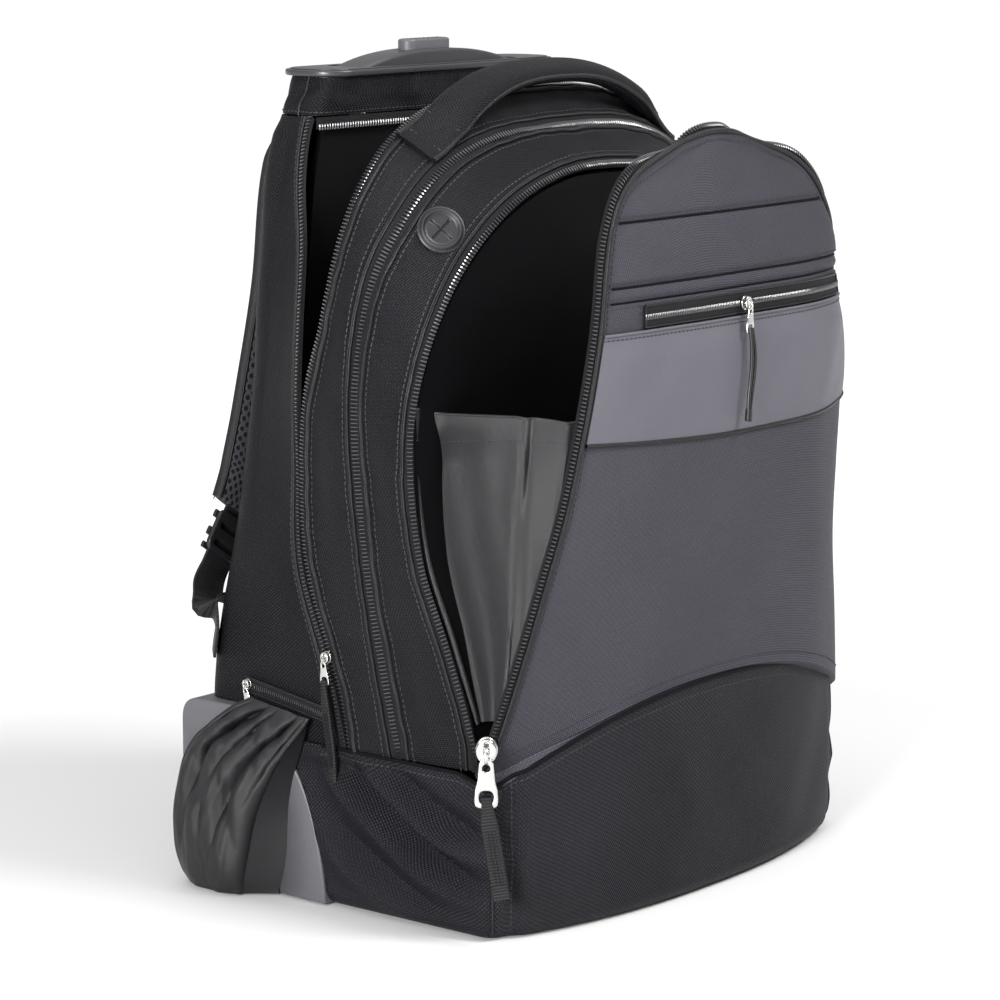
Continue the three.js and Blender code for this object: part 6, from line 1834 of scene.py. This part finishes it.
def wheel_cover():
    """A thin cover gathered over the left wheel, in deep folds that run down from its zip."""
    rows, columns = 100, 180
    t = np.linspace(0, 1, rows)[:, None]
    u = np.linspace(0, 1, columns)[None]
    front = HOUSING_BACK * along(COVER_ROWS, "front", t)
    rear = HOUSING_BACK * along(COVER_ROWS, "back", t)
    lip = 7 * smooth(0, 0.2, t)
    y = mix(front, rear, (1 - np.cos(np.pi * u)) / 2)
    round_side = np.sin(np.pi * np.clip(u + 0.06 * (1 - u), 0, 1)) ** 0.6
    reach = lip * (1 - u) ** 3 + COVER_REACH * along(COVER_ROWS, "reach", t) * round_side
    for at, slant, width, depth, low in [
        (0.12, 0.16, 0.022, 4.0, 0.55),
        (0.27, 0.18, 0.04, 8.5, 0.95),
        (0.5, 0.02, 0.028, 5.0, 0.5),
        (0.6, 0.12, 0.05, 11.0, 0.85),
        (0.83, 0.05, 0.03, 4.0, 0.7),
    ]:
        middle = at + slant * t + 0.02 * np.sin(7 * t + 20 * at)
        spread = width * mix(0.6, 1.5, t)
        fade = smooth(0, 0.1, t) * smooth(low, 0.3 * low, t)
        reach = reach - depth * fade * np.exp(-(np.abs(u - middle) / spread) ** 1.35)
    top = pocket_zip_height(np.minimum(y, 75)) - 4.6
    z = mix(top, 1.5, t)
    grid = np.stack([-HOUSING_SIDE - 0.5 - np.maximum(reach, 0.4), y, z + 0 * reach], -1)
    cloth = Cloth(grid)
    fine = rumple(grid * (1, 1, 0.5), 30, 2.2, 71) + rumple(grid * (1, 1, 0.5), 10, 0.5, 72)
    fine *= np.sin(np.pi * u) * np.sin(np.pi * np.clip(t, 0, 0.93)) ** 0.5
    cloth = cloth.pressed(fine)
    made = sheet("wheel_cover_cloth", cloth.grid, cloth.normals, 1.0, COVER, "cloth", replaces="wheel_cover")
    flat_size(cloth)
    share = np.linspace(0, 1, columns)
    pieces("wheel_cover_hem", [cord(*cloth.at(0.985, share), 1.1)], COVER, "cloth")
    border = cloth.grid[:, 0]
    ahead = 5 * smooth(0, 0.3, t[:, 0]) + 13 * smooth(0.2, 0.9, t[:, 0])
    root = np.stack([0 * ahead - HOUSING_SIDE - 0.3, border[:, 1] - ahead, border[:, 2]], -1)
    across = np.linspace(0, 1, 7)[None, :, None]
    band = Cloth(border[:, None] * (1 - across) + root[:, None] * across)
    band.normals = np.tile([-0.6, -0.8, 0.0], (rows, 7, 1))
    sheet("wheel_cover_binding", band.grid, band.normals, 1.4, COVER, "cloth")


# Floor, lights and camera
# The floor near the bag is painted darker, as shade against the lamps' stronger light there.
NEAR_FLOOR_PAINTED_SHADE = 0.54
FAR_FLOOR = 0.95
FLOOR_SIZE = 60
WORLD_LIGHT = 0.46
SUN_POWER = 2.1
SUN_SPREAD = 1.4
CAMERA_TARGET = (0.00222, 0.02717, 0.2224)
CAMERA_AZIMUTH = -51
CAMERA_ELEVATION = 10
CAMERA_DISTANCE = 2.236
FOCAL_LENGTH = 129.6


def floor_finish():
    """White far from the bag, and painted darker near it: painted shade that offsets the lamps' stronger
    light near the bag.
    """
    made, tree, shader = shader_of("floor_painted_shade_near_bag", Roughness=0.6)
    place = node(tree, "NewGeometry").outputs["Position"]
    distance = node(tree, "VectorMath", {0: place}, operation="LENGTH").outputs["Value"]
    far = node(tree, "MapRange", {"From Min": 0.5, "From Max": 2.2, "Value": distance}).outputs["Result"]
    shade = mixed(tree, far, (NEAR_FLOOR_PAINTED_SHADE,) * 3, (FAR_FLOOR,) * 3)
    tree.links.new(shade, shader.inputs["Base Color"])
    return made


def stage():
    mesh = bpy.data.meshes.new("floor")
    size = FLOOR_SIZE
    corners = [(-size, -size, 0), (size, -size, 0), (size, size, 0), (-size, size, 0)]
    mesh.from_pydata(corners, [], [(0, 1, 2, 3)])
    floor = linked("floor", mesh)
    mesh.materials.append(floor_finish())


def lights():
    world = bpy.data.worlds.new("studio")
    bpy.context.scene.world = world
    world.use_nodes = True
    background = world.node_tree.nodes["Background"]
    background.inputs["Color"].default_value = (1, 1, 1, 1)
    background.inputs["Strength"].default_value = WORLD_LIGHT
    sun = bpy.data.lights.new("overhead", "SUN")
    sun.energy = SUN_POWER
    sun.angle = SUN_SPREAD
    linked("overhead", sun)
    for name, place, power, width in [
        ("key", (0.7, -2.0, 2.7), 118, 1.1),
        ("side", (-2.0, -0.6, 0.7), 72, 0.6),
    ]:
        light = bpy.data.lights.new(name, "AREA")
        light.energy = power
        light.size = width
        lamp = linked(name, light)
        lamp.location = place
        lamp.rotation_euler = (Vector((0, 0, 0.25)) - Vector(place)).to_track_quat("-Z", "Y").to_euler()
    bpy.context.scene.view_settings.view_transform = "Standard"


def camera():
    azimuth, elevation = np.radians((CAMERA_AZIMUTH, CAMERA_ELEVATION))
    level = np.cos(elevation)
    back = np.array([np.sin(azimuth) * level, -np.cos(azimuth) * level, np.sin(elevation)])
    lens = bpy.data.cameras.new("camera")
    lens.lens = FOCAL_LENGTH
    lens.sensor_width = 36
    lens.sensor_fit = "HORIZONTAL"
    made = linked("camera", lens)
    made.location = np.array(CAMERA_TARGET) + back * CAMERA_DISTANCE
    made.rotation_euler = Vector(-back).to_track_quat("-Z", "Y").to_euler()
    bpy.context.scene.camera = made


def carried_over():
    """Better finishes for the solids that stay."""
    for name, finish in [
        ("tube_frame", ALUMINIUM),
        ("middle_tube_right", ALUMINIUM),
        ("middle_tube_left", ALUMINIUM),
        ("inner_tube_right", ALUMINIUM),
        ("inner_tube_left", ALUMINIUM),
        ("axle_right", STEEL),
        ("axle_left", STEEL),
    ]:
        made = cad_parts[name]
        made.data.materials.clear()
        made.data.materials.append(finish)


camera()
stage()
lights()
carried_over()
port(band_pieces())
base_pieces()
back_pieces()
inner_walls()
flap_pieces()
pocket_web()
pocket_zips()
sliders()
grab_handle()
trolley_cap()
trolley_grip()
back_pad()
straps()
strap_ring()
wheels()
housings()
wheel_cover()
